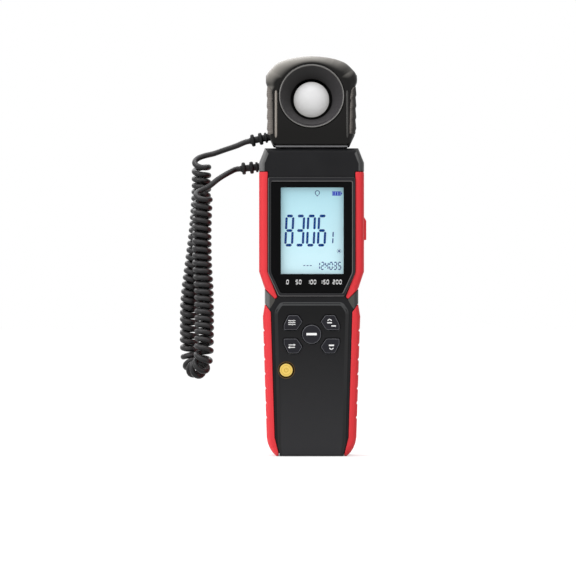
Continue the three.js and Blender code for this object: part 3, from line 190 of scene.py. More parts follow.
@dataclass(frozen=True)
class Finish:
    """A surface with a fine even grain and a colour that wanders a little.

    Attributes:
        name: Name of the material.
        color: Base colour.
        cloud: Colour of the slow clouds in it, which keep it from looking painted on.
        roughness: Roughness in the middle of its range.
        specular: Specular level; low on the dark moulded parts, which take little sheen.
        metallic: 1 on a bare metal.
        grain: Width of one grain in millimetres, coarser than a real one of about 0.1 so that it shows.
        relief: Depth of the grain in millimetres.
        smudge: How far the roughness goes up and down.
        cloud_size: Width of one cloud in millimetres.
    """

    name: str
    color: str
    cloud: str
    roughness: float = 0.5
    specular: float = 0.3
    metallic: float = 0.0
    grain: float = 0.4
    relief: float = 0.012
    smudge: float = 0.06
    cloud_size: float = 14.0

    def material(self) -> bpy.types.Material:
        """Gives the finish's material, made once."""
        known = bpy.data.materials.get(self.name)
        if known:
            return known
        made = bpy.data.materials.new(self.name)
        made.use_nodes = True
        tree = made.node_tree
        shader = tree.nodes["Principled BSDF"]
        shader.inputs["Metallic"].default_value = self.metallic
        if not self.metallic:
            shader.inputs["Specular IOR Level"].default_value = self.specular
        place = add_node(tree, "ShaderNodeTexCoord").outputs["Object"]
        self.dress(tree, shader, place)
        return made

    def dress(self, tree: Tree, shader: Node, place: Socket) -> None:
        """Adds the colour, roughness and relief.

        Args:
            tree: The material's node tree.
            shader: Its surface shader.
            place: Object coordinates.
        """
        self.add_color(tree, shader, place)
        self.add_roughness(tree, shader, place)
        height = self.height(tree, place)
        bump = add_node(
            tree, "ShaderNodeBump", {"Strength": 1.0, "Distance": self.relief * MM}, {"Height": height}
        )
        tree.links.new(bump.outputs["Normal"], shader.inputs["Normal"])

    def add_color(self, tree: Tree, shader: Node, place: Socket) -> None:
        """Adds slow clouds between the two colours."""
        size = blobs(self.cloud_size, 2.0)
        cloud = add_node(tree, "ShaderNodeTexNoise", size, {"Vector": place}).outputs["Fac"]
        stops = [(0.3, self.color), (0.72, self.cloud)]
        ramp = add_node(tree, "ShaderNodeValToRGB", {"stops": stops}, {"Fac": cloud})
        tree.links.new(ramp.outputs["Color"], shader.inputs["Base Color"])

    def add_roughness(self, tree: Tree, shader: Node, place: Socket) -> None:
        """Adds a roughness that goes up and down as on a part that has been held."""
        size = blobs(self.cloud_size / 3, 3.0)
        wear = add_node(tree, "ShaderNodeTexNoise", size, {"Vector": place}).outputs["Fac"]
        reach = {"To Min": self.roughness - self.smudge, "To Max": self.roughness + self.smudge}
        spread = add_node(tree, "ShaderNodeMapRange", reach, {"Value": wear})
        tree.links.new(spread.outputs["Result"], shader.inputs["Roughness"])

    def height(self, tree: Tree, place: Socket) -> Socket:
        """Gives the height of the grain from 0 to 1."""
        size = blobs(self.grain, 2.0)
        return add_node(tree, "ShaderNodeTexNoise", size, {"Vector": place}).outputs["Fac"]


@dataclass(frozen=True)
class Metal(Finish):
    """A bare or plated metal with drawn-out marks of how it was turned or rolled.

    Attributes:
        stretch: How many times longer than wide the marks are, along Y.
    """

    metallic: float = 1.0
    roughness: float = 0.32
    stretch: float = 12.0

    def height(self, tree: Tree, place: Socket) -> Socket:
        """Gives the height of the drawn marks from 0 to 1."""
        drawn = add_node(
            tree, "ShaderNodeMapping", {"Scale": (1, 1 / self.stretch, 1)}, {"Vector": place}
        )
        return super().height(tree, drawn.outputs["Vector"])


@dataclass(frozen=True)
class Opal(Finish):
    """Opal acrylic: light goes a little way in and spreads, so its shading is soft.

    Attributes:
        depth: How far the light goes in, in millimetres.
        spread: Share of the light that goes in.
        inner: Colour of a painted glow that lifts its shaded side, though nothing in it is a lamp.
        glow: Strength of that painted glow.
    """

    depth: float = 1.5
    spread: float = 0.6
    inner: str = "#e6e5e2"
    glow: float = 0.37

    def dress(self, tree: Tree, shader: Node, place: Socket) -> None:
        """Adds the spread of light inside it and a painted glow to what every finish has."""
        super().dress(tree, shader, place)
        shader.inputs["Emission Color"].default_value = linear(self.inner)
        shader.inputs["Emission Strength"].default_value = self.glow
        shader.inputs["Subsurface Weight"].default_value = self.spread
        shader.inputs["Subsurface Radius"].default_value = (1.0, 1.0, 1.0)
        shader.inputs["Subsurface Scale"].default_value = self.depth * MM


@dataclass(frozen=True)
class Clear(Finish):
    """Clear plastic or glass, seen through.

    Attributes:
        ior: Index of refraction.
    """

    ior: float = 1.49

    def dress(self, tree: Tree, shader: Node, place: Socket) -> None:
        """Lets light through, with a faint unevenness in its gloss."""
        shader.inputs["Transmission Weight"].default_value = 1.0
        shader.inputs["IOR"].default_value = self.ior
        self.add_color(tree, shader, place)
        self.add_roughness(tree, shader, place)


@dataclass(frozen=True)
class Graded(Finish):
    """A finish whose colour changes with height, from the cloud colour at the foot.

    Attributes:
        low: Height of the foot in millimetres.
        high: Height of the top in millimetres.
        glow: Strength of its glow; 0 on what isn't lit from behind.
    """

    low: float = 90.0
    high: float = 136.0
    glow: float = 0.0

    def add_color(self, tree: Tree, shader: Node, place: Socket) -> None:
        """Adds the colour that changes with height, and its glow."""
        up = add_node(tree, "ShaderNodeSeparateXYZ", links={"Vector": place}).outputs["Z"]
        share = add_node(
            tree,
            "ShaderNodeMapRange",
            {"From Min": self.low * MM, "From Max": self.high * MM},
            {"Value": up},
        )
        stops = [(0.0, self.cloud), (0.9, self.color)]
        ramp = add_node(tree, "ShaderNodeValToRGB", {"stops": stops}, {"Fac": share.outputs["Result"]})
        tree.links.new(ramp.outputs["Color"], shader.inputs["Base Color"])
        if self.glow:
            tree.links.new(ramp.outputs["Color"], shader.inputs["Emission Color"])
            shader.inputs["Emission Strength"].default_value = self.glow


@dataclass(frozen=True)
class Facing(Finish):
    """A finish that is lighter where it faces a light.

    Its colour goes from the base colour to the cloud colour as the cosine between the surface's
    normal and the way to the light goes from start to stop.

    Attributes:
        toward: The way to the light.
        start: Cosine up to which it is dark.
        stop: Cosine from which it is light.
    """

    toward: Place = (-0.5, 0.0, 0.86)
    start: float = 0.2
    stop: float = 1.0

    def add_color(self, tree: Tree, shader: Node, place: Socket) -> None:
        """Adds the colour that changes with the way the surface faces."""
        normal = add_node(tree, "ShaderNodeNewGeometry").outputs["Normal"]
        facing = add_node(
            tree, "ShaderNodeVectorMath", {"operation": "DOT_PRODUCT", 1: self.toward}, {0: normal}
        )
        share = add_node(
            tree,
            "ShaderNodeMapRange",
            {"From Min": self.start, "From Max": self.stop},
            {"Value": facing.outputs["Value"]},
        )
        stops = [(0.0, self.color), (1.0, self.cloud)]
        ramp = add_node(tree, "ShaderNodeValToRGB", {"stops": stops}, {"Fac": share.outputs["Result"]})
        tree.links.new(ramp.outputs["Color"], shader.inputs["Base Color"])


@dataclass(frozen=True)
class Ribbed(Facing):
    """A finish with fine straight ribs across Z on top of its grain.

    Attributes:
        pitch: From one rib to the next, in millimetres.
    """

    pitch: float = 0.9

    def height(self, tree: Tree, place: Socket) -> Socket:
        """Gives the height of the ribs from 0 to 1."""
        settings = {
            "wave_type": "BANDS",
            "bands_direction": "Z",
            "wave_profile": "SIN",
            "Scale": math.pi / 10 / (self.pitch * MM),
            "Distortion": 0.0,
        }
        return add_node(tree, "ShaderNodeTexWave", settings, {"Vector": place}).outputs["Fac"]


# ABS moulded on a spark-eroded tool: near black, with an even grain and a dull sheen.
CASE = Finish("moulded_black_abs", "#141416", "#19191b", roughness=0.46, specular=0.15)
# The sloping edges of the same case, smoother, and lighter where they face the left: a painted highlight.
CASE_EDGE = Facing(
    "smooth_black_abs_edge", "#1d1d1d", "#6c6c6c", roughness=0.34, specular=0.3, relief=0.004,
    toward=(-1.0, 0.0, 0.1), start=-0.35, stop=0.4,
)
# The polished facet at the waist: its even warm grey is a painted highlight, for the light that it catches.
WAIST_FACET = Finish("smooth_waist_facet", "#403f3c", "#4b4945", roughness=0.36, specular=0.2, relief=0.004)
# The same plastic on the sensor head, warmer; its colour goes to light grey where it turns to the light:
# painted light.
HEAD_SHELL = Facing(
    "moulded_black_abs_head", "#0e0d0c", "#8f8b85", roughness=0.42, specular=0.15, start=0.22, stop=0.9
)
# Soft elastomer moulded over the case: saturated and satin, with a fine tooth. Its red is
# lighter where it faces the left and darker where it faces right: painted light.
GRIP = Facing(
    "overmoulded_red_elastomer", "#bd2027", "#e63e45", roughness=0.5, specular=0.2, relief=0.008,
    toward=(-1.0, 0.0, 0.15), start=-0.85, stop=0.45,
)
# Matt rubber of the strain reliefs: it hardly has a highlight.
RUBBER = Finish("moulded_black_rubber", "#161617", "#1c1c1d", roughness=0.62, specular=0.25, relief=0.015)
# Rubber with fine moulded ribs, drawn as coarse as they need to be to show. Its grey grows
# lighter where it faces the left: painted light.
PAD = Ribbed(
    "ribbed_grey_rubber", "#2a2826", "#76706b", roughness=0.6, specular=0.15, relief=0.12,
    toward=(-1.0, 0.0, 0.1), start=-0.5, stop=0.6, pitch=1.1,
)
# Extruded polyurethane jacket: smooth; the soft long highlight on every turn is painted into its colour.
JACKET = Facing(
    "extruded_cord_jacket", "#0b0b0c", "#3c3b3c", roughness=0.4, specular=0.25, relief=0.003,
    toward=(-0.35, -0.45, 0.82), start=0.15, stop=1.0,
)
# Black ink printed behind a polished acrylic window: deep black, with a sharp highlight.
WINDOW_PRINT = Finish(
    "gloss_black_window_print", "#060607", "#080809", roughness=0.14, specular=0.05, relief=0.0005
)
# Polished acrylic, all but unseen. Its coat against reflections is taken up by a lower index than
# acrylic's 1.49.
WINDOW = Clear(
    "clear_acrylic_window", "#ffffff", "#ffffff", roughness=0.02, specular=0.05, smudge=0.01, ior=1.15
)
# Liquid crystal glass, lit from behind by the light guide: pale blue, brighter towards the foot.
DISPLAY_GLASS = Graded(
    "lit_liquid_crystal_glass", "#abd5e0", "#c9e8f0", roughness=0.35, specular=0.05, relief=0.001, glow=0.15
)
# Liquid crystal segments: a flat deep blue with no grain of their own.
SEGMENT = Finish("display_segment_navy", "#04387f", "#063e88", roughness=0.5, specular=0.1, relief=0.001)
# The battery sign's segments: a brighter, more violet blue.
BATTERY_MARK = Finish("display_mark_blue", "#2f3cc4", "#3946c8", roughness=0.5, specular=0.1, relief=0.001)
# Opal acrylic: milky, with soft shading, for the light goes in and spreads; a painted glow lifts its shaded
# side.
OPAL = Opal("opal_acrylic_dome", "#b2b2b4", "#b6b6b8", roughness=0.42, specular=0.3, relief=0.004)
# ABS of the recess's cone: dull, and a little lighter where it faces up and to the left: painted light.
BEZEL = Facing(
    "moulded_recess_cone", "#2a2929", "#3b393b", roughness=0.44, specular=0.15, relief=0.006,
    toward=(-0.68, 0.0, 0.74), start=-0.75, stop=0.75,
)
# Painted shade: near black put in the deep of the recess and in the power key's well, where shade falls.
PAINTED_RECESS_SHADE = Finish("dark_recess_floor", "#0c0c0c", "#101010", roughness=0.6, specular=0.05)
# Polished ABS of the beads in a lit and a shaded copy: a painted highlight makes one a thin bright line,
# painted shade keeps the other dark.
BEAD_PAINTED_HIGHLIGHT = Finish("polished_head_bead_lit", "#7c756d", "#857d75", roughness=0.25, specular=0.6, relief=0.003)
BEAD_PAINTED_SHADE = Finish("polished_head_bead_dark", "#262523", "#2c2a28", roughness=0.3, specular=0.4, relief=0.003)
# Polished ABS round the opening: a thin grey ring, its grey a painted highlight.
LIP = Finish("polished_recess_lip", "#5c5a58", "#64625f", roughness=0.22, specular=0.8, relief=0.002)
# ABS of the window's frame, smoother than the case: a clean dark line round the window.
FRAME = Finish("smooth_window_frame", "#17171a", "#1b1b1e", roughness=0.36, specular=0.2, relief=0.004)
# Its slope, lighter where it faces the left and down: a painted highlight for the light that it catches
# there.
FRAME_EDGE = Facing(
    "smooth_window_frame_slope", "#1c1c1e", "#5c5a5a", roughness=0.34, specular=0.3, relief=0.003,
    toward=(-0.9, 0.0, -0.5), start=-0.1, stop=0.3,
)
# ABS of the keypad's panel: dull, and lighter towards the foot, where the light falls on it: painted light.
PANEL = Graded("moulded_keypad_panel", "#0f0f10", "#2d2d2f", roughness=0.46, specular=0.15, low=5, high=78)
# The panel's chamfer: a soft lighter line along its top, where it faces up: a painted highlight.
PANEL_EDGE = Facing(
    "smooth_panel_edge", "#1f1f20", "#3f4041", roughness=0.38, specular=0.2, relief=0.002,
    toward=(0.0, 0.0, 1.0), start=0.0, stop=0.14,
)
# ABS of the key caps: finely grained and a little bluer than the case.
KEY_CAP = Finish("moulded_key_caps", "#1a1a1f", "#202026", roughness=0.42, specular=0.15, relief=0.006)
# Their rims, which the mould leaves smooth: a thin grey outline round each key, a painted highlight.
KEY_RIM = Finish("polished_key_rims", "#505055", "#58585d", roughness=0.36, specular=0.3, relief=0.004)
# Satin yellow ABS: the one warm spot on the dark panel.
POWER_CAP = Finish("moulded_yellow_key", "#e8c765", "#e0bd5a", roughness=0.4, specular=0.35, relief=0.006)
# The mark pressed into it: a deeper yellow.
POWER_MARK = Finish("pressed_yellow_mark", "#c39a2c", "#bd9428", roughness=0.45, specular=0.3, relief=0.006)
# Bronze lacquer on the key's ring: a thin warm outline.
POWER_RING = Finish("bronze_key_ring", "#543c16", "#5f461c", roughness=0.35, specular=0.3, relief=0.004)
# White ink put on with a pad: flat and without shine.
PRINT = Finish("pad_printed_white", "#e9e9e9", "#f1f1f1", roughness=0.5, specular=0.3, relief=0.004)
# Frosted acrylic behind the display: milky and even.
LIGHT_GUIDE = Finish("frosted_light_guide", "#eef2f0", "#e6ebe9", roughness=0.35, relief=0.02)
# White ABS of the display's holder: plain and dull.
WHITE_PLASTIC = Finish("moulded_white_plastic", "#dededb", "#e6e6e3", roughness=0.5)
# Solder mask over glass fibre: green and glossy, with a faint weave.
BOARD = Finish(
    "green_solder_mask", "#14502c", "#1a5f36", roughness=0.28, specular=0.5, grain=1.2, relief=0.02
)
# Layered silicone strip of the display's contacts: pink and dull.
ELASTOMER = Finish("layered_contact_elastomer", "#c87088", "#b85f78", roughness=0.7, grain=0.25)
# Silicone of the keypad's mat: grey and dull.
SILICONE = Finish("moulded_grey_silicone", "#7d8083", "#86898c", roughness=0.62)
# Grey ABS of the dock plug: a lighter band between head and body.
PLINTH = Finish("moulded_grey_plinth", "#6c6c6e", "#747476", roughness=0.48)
# Nickel on the steel of the contacts: pale, with drawn marks.
NICKEL = Metal("nickel_plated_steel", "#b9bbbe", "#c6c8ca", grain=0.3, relief=0.006)
# Black oxide on the screws: dark, with a dull shine.
BLACK_STEEL = Metal("black_oxide_steel", "#3c3c3e", "#454548", roughness=0.38, grain=0.3, relief=0.006)
# Brass of the threaded insert: warm, with the marks of its knurl.
BRASS = Metal("knurled_brass", "#c9a24a", "#d4ae58", roughness=0.3, grain=0.5, relief=0.03, stretch=6.0)
# Film shrunk round the cells: blue and glossy.
CELL_WRAP = Finish("shrink_wrapped_cell", "#2c5f86", "#31668e", roughness=0.28, specular=0.5, relief=0.004)
# Green glass over the photodiode: clear, with a sharp highlight.
FILTER_GLASS = Clear("green_correction_glass", "#6fa878", "#76ae7f", roughness=0.04, ior=1.52)


# Meshes


def placed(name: str, data: bpy.types.ID) -> Piece:
    """Puts a mesh, a lamp or a camera into the scene as an object at the origin."""
    thing = bpy.data.objects.new(name, data)
    bpy.context.scene.collection.objects.link(thing)
    return thing


def fasten(piece: Piece, slot: str, body: str, *nodes: str) -> None:
    """Hides the CAD nodes that a piece stands for and puts it on the body that it rides on.

    Args:
        piece: The piece.
        slot: The record's material slot; not used.
        body: Body that it rides on.
        nodes: CAD nodes that it replaces; none where it is an addition.
    """
    if nodes:
        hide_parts(*nodes)
    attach(piece, body)


def mesh_piece(name: str, vertices: Array, faces: list, finish: Finish, smooth: bool = True) -> Piece:
    """Makes an object of one closed mesh with outward faces.

    Args:
        name: Name of the piece.
        vertices: Points in metres, one a row.
        faces: Rows of vertex numbers.
        finish: Its finish.
        smooth: Whether its faces shade smoothly.

    Returns:
        The object, at the origin.
    """
    mesh = bpy.data.meshes.new(name)
    mesh.from_pydata(np.asarray(vertices, float).tolist(), [], [list(map(int, row)) for row in faces])
    edit = bmesh.new()
    edit.from_mesh(mesh)
    bmesh.ops.remove_doubles(edit, verts=edit.verts, dist=WELD)
    bmesh.ops.recalc_face_normals(edit, faces=edit.faces)
    edit.to_mesh(mesh)
    edit.free()
    mesh.polygons.foreach_set("use_smooth", np.full(len(mesh.polygons), smooth))
    mesh.materials.append(finish.material())
    return placed(name, mesh)


def grid_faces(rows: int, columns: int) -> Array:
    """Gives the quads between rings of points that are numbered ring by ring.

    Args:
        rows: Number of rings.
        columns: Points in a ring, the last of which joins the first.

    Returns:
        Four vertex numbers a row.
    """
    row, column = np.meshgrid(np.arange(rows - 1), np.arange(columns), indexing="ij")
    after = (column + 1) % columns
    corners = [row * columns + column, row * columns + after]
    corners += [(row + 1) * columns + after, (row + 1) * columns + column]
    return np.stack(corners, -1).reshape(-1, 4)


def capped_faces(rows: int, columns: int) -> list:
    """Gives the quads between rings of points, and a face on the first and on the last ring."""
    ends = [list(range(columns)), list(range((rows - 1) * columns, rows * columns))]
    return grid_faces(rows, columns).tolist() + ends


def unit(vectors: Array) -> Array:
    """Gives vectors of length one along those given."""
    return vectors / np.maximum(np.linalg.norm(vectors, axis=-1, keepdims=True), 1e-12)


def revolved(
    name: str, profile: list[Point], base: Array, axis: Array, finish: Finish, sides: int = 64
) -> Piece:
    """Turns a profile about a line: point = base + axis * along + ring * radius.

    Args:
        name: Name of the piece.
        profile: Pairs of distance along the axis and radius, in millimetres, first and last on the axis
            or a closed loop.
        base: Start of the axis in millimetres.
        axis: Direction of the axis.
        finish: Its finish.
        sides: Points in each ring.

    Returns:
        The object.
    """
    along, radius = np.array(profile, float).T
    axis = unit(np.array(axis, float))
    # A ring starts square to the axis and to a direction that never lies along it.
    across = unit(np.cross(axis, (0.31, 0.17, 0.94) if abs(axis[2]) < 0.9 else (1.0, 0.0, 0.0)))
    angle = 2 * np.pi * np.arange(sides) / sides
    ring = np.cos(angle)[:, None] * across + np.sin(angle)[:, None] * np.cross(axis, across)
    points = np.asarray(base, float) + along[:, None, None] * axis + radius[:, None, None] * ring
    return mesh_piece(name, points.reshape(-1, 3) * MM, grid_faces(len(along), sides), finish)


def rounded_profile(corners: list[Point], radii: list[float], steps: int = 5) -> list[Point]:
    """Rounds the corners of an open or closed chain of points by quadratic curves.

    Args:
        corners: The chain's points.
        radii: How far from each corner its curve begins; 0 keeps it sharp.
        steps: Parts of each curve.

    Returns:
        The rounded chain.
    """
    points = np.array(corners, float)
    before, after = np.roll(points, 1, 0), np.roll(points, -1, 0)
    t = np.linspace(0, 1, steps + 1)[:, None]
    chain: list[Point] = []
    for p, a, b, r in zip(points, before, after, radii):
        if r <= 0:
            chain.append(tuple(p))
            continue
        start, end = p + unit(a - p) * r, p + unit(b - p) * r
        chain.extend(map(tuple, (1 - t) ** 2 * start + 2 * t * (1 - t) * p + t**2 * end))
    return chain


def rounded_rows(rows: list[Place], steps: int) -> list[Point]:
    """Rounds a chain that is given as rows of a point and the size of its rounding."""
    return rounded_profile([row[:2] for row in rows], [row[2] for row in rows], steps)


def mirrored(right: list[Point]) -> list[Point]:
    """Adds the left half of an outline to its right half."""
    return right + [(-x, z) for x, z in right[::-1]]


def shade_by_angle(piece: Piece, degrees: float = 35.0) -> None:
    """Keeps edges sharper than an angle sharp and shades the rest smoothly.

    Args:
        piece: The piece.
        degrees: Least angle of a sharp edge.
    """
    edit = bmesh.new()
    edit.from_mesh(piece.data)
    for edge in edit.edges:
        edge.smooth = len(edge.link_faces) == 2 and edge.calc_face_angle(0.0) < math.radians(degrees)
    edit.to_mesh(piece.data)
    edit.free()


def finish_edges(piece: Piece, width: float, segments: int) -> None:
    """Rounds a piece's sharp edges with a live bevel and weighted normals.

    Args:
        piece: The piece.
        width: Width of the rounding in millimetres.
        segments: Strips of each rounding.
    """
    bevel = piece.modifiers.new("rounded_edges", "BEVEL")
    bevel.width = width * MM
    bevel.segments = segments
    bevel.limit_method = "ANGLE"
    bevel.angle_limit = math.radians(BEVELED_FROM)
    bevel.use_clamp_overlap = False
    bevel.miter_outer = "MITER_ARC"
    piece.data.polygons.foreach_set("use_smooth", np.ones(len(piece.data.polygons), bool))
    normals = piece.modifiers.new("weighted_normals", "WEIGHTED_NORMAL")
    normals.keep_sharp = True


def paint_slopes(piece: Piece, finish: Finish, before: float, sideways: float = 0.0) -> None:
    """Gives the faces that slope back from the front a finish of their own, in this script always a painted
    highlight.

    Args:
        piece: The piece.
        finish: The finish.
        before: Y in millimetres that the faces lie in front of.
        sideways: Least X of a face's normal, to either side.
    """
    piece.data.materials.append(finish.material())
    count = len(piece.data.polygons)
    normals = np.empty(count * 3)
    centres = np.empty(count * 3)
    piece.data.polygons.foreach_get("normal", normals)
    piece.data.polygons.foreach_get("center", centres)
    tilt, aside, depth = normals[1::3], np.abs(normals[0::3]), centres[1::3]
    sloping = (tilt > FACES_FRONT) & (tilt < FACES_ASIDE)
    slopes = sloping & (aside >= sideways) & (depth < before * MM)
    index = np.zeros(count, np.int32)
    piece.data.polygons.foreach_get("material_index", index)
    index[slopes] = len(piece.data.materials) - 1
    piece.data.polygons.foreach_set("material_index", index)


def slots_of(frame: dict) -> dict[str, str]:
    return {row["node"]: row["material_slot"] for row in frame["record"]["subparts"]}


def crisp_copy(
    frame: dict, node: str, name: str, finish: Finish, width: float = 0.25, segments: int = 2
) -> Piece:
    """Copies a CAD solid, merges its loose triangles and rounds its edges.

    Args:
        node: Name of the CAD node.
        name: Name of the new piece.
        finish: Its finish.
        width: Width of the rounding in millimetres.
        segments: Strips of each rounding.

    Returns:
        The new piece, which replaces the node and rides on its body.
    """
    source = frame["nodes"][node]
    mesh = bpy.data.meshes.new(name)
    edit = bmesh.new()
    edit.from_mesh(source.data)
    bmesh.ops.remove_doubles(edit, verts=edit.verts, dist=SOLID_WELD)
    flat = math.radians(FLAT_UP_TO)
    bmesh.ops.dissolve_limit(edit, angle_limit=flat, verts=edit.verts, edges=edit.edges)
    edit.to_mesh(mesh)
    edit.free()
    mesh.materials.append(finish.material())
    piece = placed(name, mesh)
    finish_edges(piece, width, segments)
    fasten(piece, slots_of(frame)[node], source["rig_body"], node)
    return piece


def tube_points(path: Array, references: Array, radius: float, sides: int) -> Array:
    """Gives rings of points about a path: point = path + radius * (cos u * across + sin u * other).

    Args:
        path: Points of the middle line, one a row.
        references: A direction for each point, never along the path, that its ring starts from.
        radius: Radius of the tube.
        sides: Points in each ring.

    Returns:
        Points by ring and side.
    """
    along = unit(np.gradient(path, axis=0))
    across = unit(references - (references * along).sum(1, keepdims=True) * along)
    other = np.cross(along, across)
    angle = 2 * np.pi * np.arange(sides) / sides
    ring = np.cos(angle)[None, :, None] * across[:, None] + np.sin(angle)[None, :, None] * other[:, None]
    return path[:, None] + radius * ring


def centripetal(points: Array, shares: Array) -> Array:
    """Evaluates a centripetal Catmull-Rom curve through points.

    Each span is a cubic whose end slopes come from knots that are spaced by the square root of the
    distance between points; past its ends the curve goes on in a straight line.

    Args:
        points: Points that the curve passes, one a row.
        shares: Places from 0 at the first point to 1 at the last, in equal parts from point to point.

    Returns:
        A point of the curve for each share.
    """
    last = len(points) - 1
    ends = np.vstack([2 * points[0] - points[1], points, 2 * points[-1] - points[-2]])
    place = np.clip(shares, 0, 1) * last
    knot = np.minimum(place.astype(int), last - 1)
    w = (place - knot)[:, None]
    p0, p1, p2, p3 = (ends[knot + i] for i in range(4))
    d0, d1, d2 = (np.linalg.norm(b - a, axis=1)[:, None] ** 0.5 for a, b in ((p0, p1), (p1, p2), (p2, p3)))
    t1 = ((p1 - p0) / d0 - (p2 - p0) / (d0 + d1) + (p2 - p1) / d1) * d1
    t2 = ((p2 - p1) / d1 - (p3 - p1) / (d1 + d2) + (p3 - p2) / d2) * d1
    cubic = 2 * p1 - 2 * p2 + t1 + t2
    square = -3 * p1 + 3 * p2 - 2 * t1 - t2
    return p1 + t1 * w + square * w**2 + cubic * w**3


def offset_ring(outline: Array, distance: float) -> Array:
    """Moves a closed outline inwards by a distance, each point along the bisector of its two edges.

    Args:
        outline: Points of the outline, counter-clockwise.
        distance: How far inwards; negative goes outwards.

    Returns:
        The moved points.
    """
    forward = unit(np.roll(outline, -1, 0) - outline)
    normal = np.stack([-forward[:, 1], forward[:, 0]], 1)
    earlier = np.roll(normal, 1, 0)
    middle = unit(normal + earlier)
    # Least cosine, so that the point of a sharp corner doesn't run away.
    least = 0.3
    reach = distance / np.maximum((middle * normal).sum(1, keepdims=True), least)
    return outline + middle * reach


def counter_clockwise(outline: Array) -> Array:
    """Turns an outline round if its area is negative."""
    x, z = outline.T
    area = (x * np.roll(z, -1) - np.roll(x, -1) * z).sum()
    return outline if area > 0 else outline[::-1]


def plate(
    name: str,
    outline: list[Point],
    front: float,
    back: float,
    finish: Finish,
    edge: float = 0.0,
    holes: list[list[Point]] | None = None,
    steps: int = 4,
    across: float | None = None,
    hole_edge: tuple[float, float] | None = None,
) -> Piece:
    """Makes a plate in X and Z, carried along Y, whose front edges are rounded.

    Each outline's rings go from the back to the front; ring k of the rounding lies across * (1 - cos a)
    inwards and edge * sin a towards the front, with a from 0 to a right angle.

    Args:
        name: Name of the piece.
        outline: Its outline in millimetres.
        front: Y of the front face.
        back: Y of the back face.
        finish: Its finish.
        edge: Radius of the front edges, of the holes' edges as well.
        holes: Outlines of its holes.
        steps: Strips of each rounding; 1 makes the outer edge a chamfer.
        across: Width of the outer edge if it isn't as wide as it is deep.
        hole_edge: Width and depth of the holes' edges if they aren't like the outer one.

    Returns:
        The object.
    """
    vertices: list[Array] = []
    faces: list[Array] = []
    caps: tuple[list, list] = ([], [])
    count = 0
    angle = np.linspace(0, np.pi / 2, steps + 1) if edge > 0 else np.zeros(1)
    for number, loop in enumerate([outline, *(holes or [])]):
        loop = counter_clockwise(np.array(loop, float))
        wide, deep = (across or edge), edge
        if number > 0:
            wide, deep = hole_edge or (edge, edge)
            wide = -wide
        insets = np.concatenate([[0.0], wide * (1 - np.cos(angle))])
        depths = np.concatenate([[back], front + deep * (1 - np.sin(angle))])
        rings = np.stack([offset_ring(loop, inset) for inset in insets])
        level = np.broadcast_to(depths[:, None], rings.shape[:2])
        points = np.stack([rings[..., 0], level, rings[..., 1]], -1)
        vertices.append(points.reshape(-1, 3))
        faces.append(grid_faces(len(rings), len(loop)) + count)
        caps[0].append((count, rings[0]))
        caps[1].append((count + (len(rings) - 1) * len(loop), rings[-1]))
        count += points.shape[0] * points.shape[1]
    rows = [list(row) for block in faces for row in block]
    for cap in caps:
        numbers = np.concatenate([np.arange(len(ring)) + start for start, ring in cap])
        loops = [[Vector((x, z, 0)) for x, z in ring] for _, ring in cap]
        rows += [[numbers[i] for i in triangle] for triangle in tessellate_polygon(loops)]
    piece = mesh_piece(name, np.concatenate(vertices) * MM, rows, finish)
    shade_by_angle(piece)
    return piece


def joined(name: str, pieces: list[Piece]) -> Piece:
    """Joins several meshes of one finish into one object.

    Args:
        name: Name of the whole.
        pieces: The objects, which are removed.

    Returns:
        The whole.
    """
    edit = bmesh.new()
    for piece in pieces:
        edit.from_mesh(piece.data)
    mesh = bpy.data.meshes.new(name)
    edit.to_mesh(mesh)
    edit.free()
    mesh.materials.append(pieces[0].data.materials[0])
    whole = placed(name, mesh)
    for piece in pieces:
        bpy.data.objects.remove(piece)
    return whole


# Studio


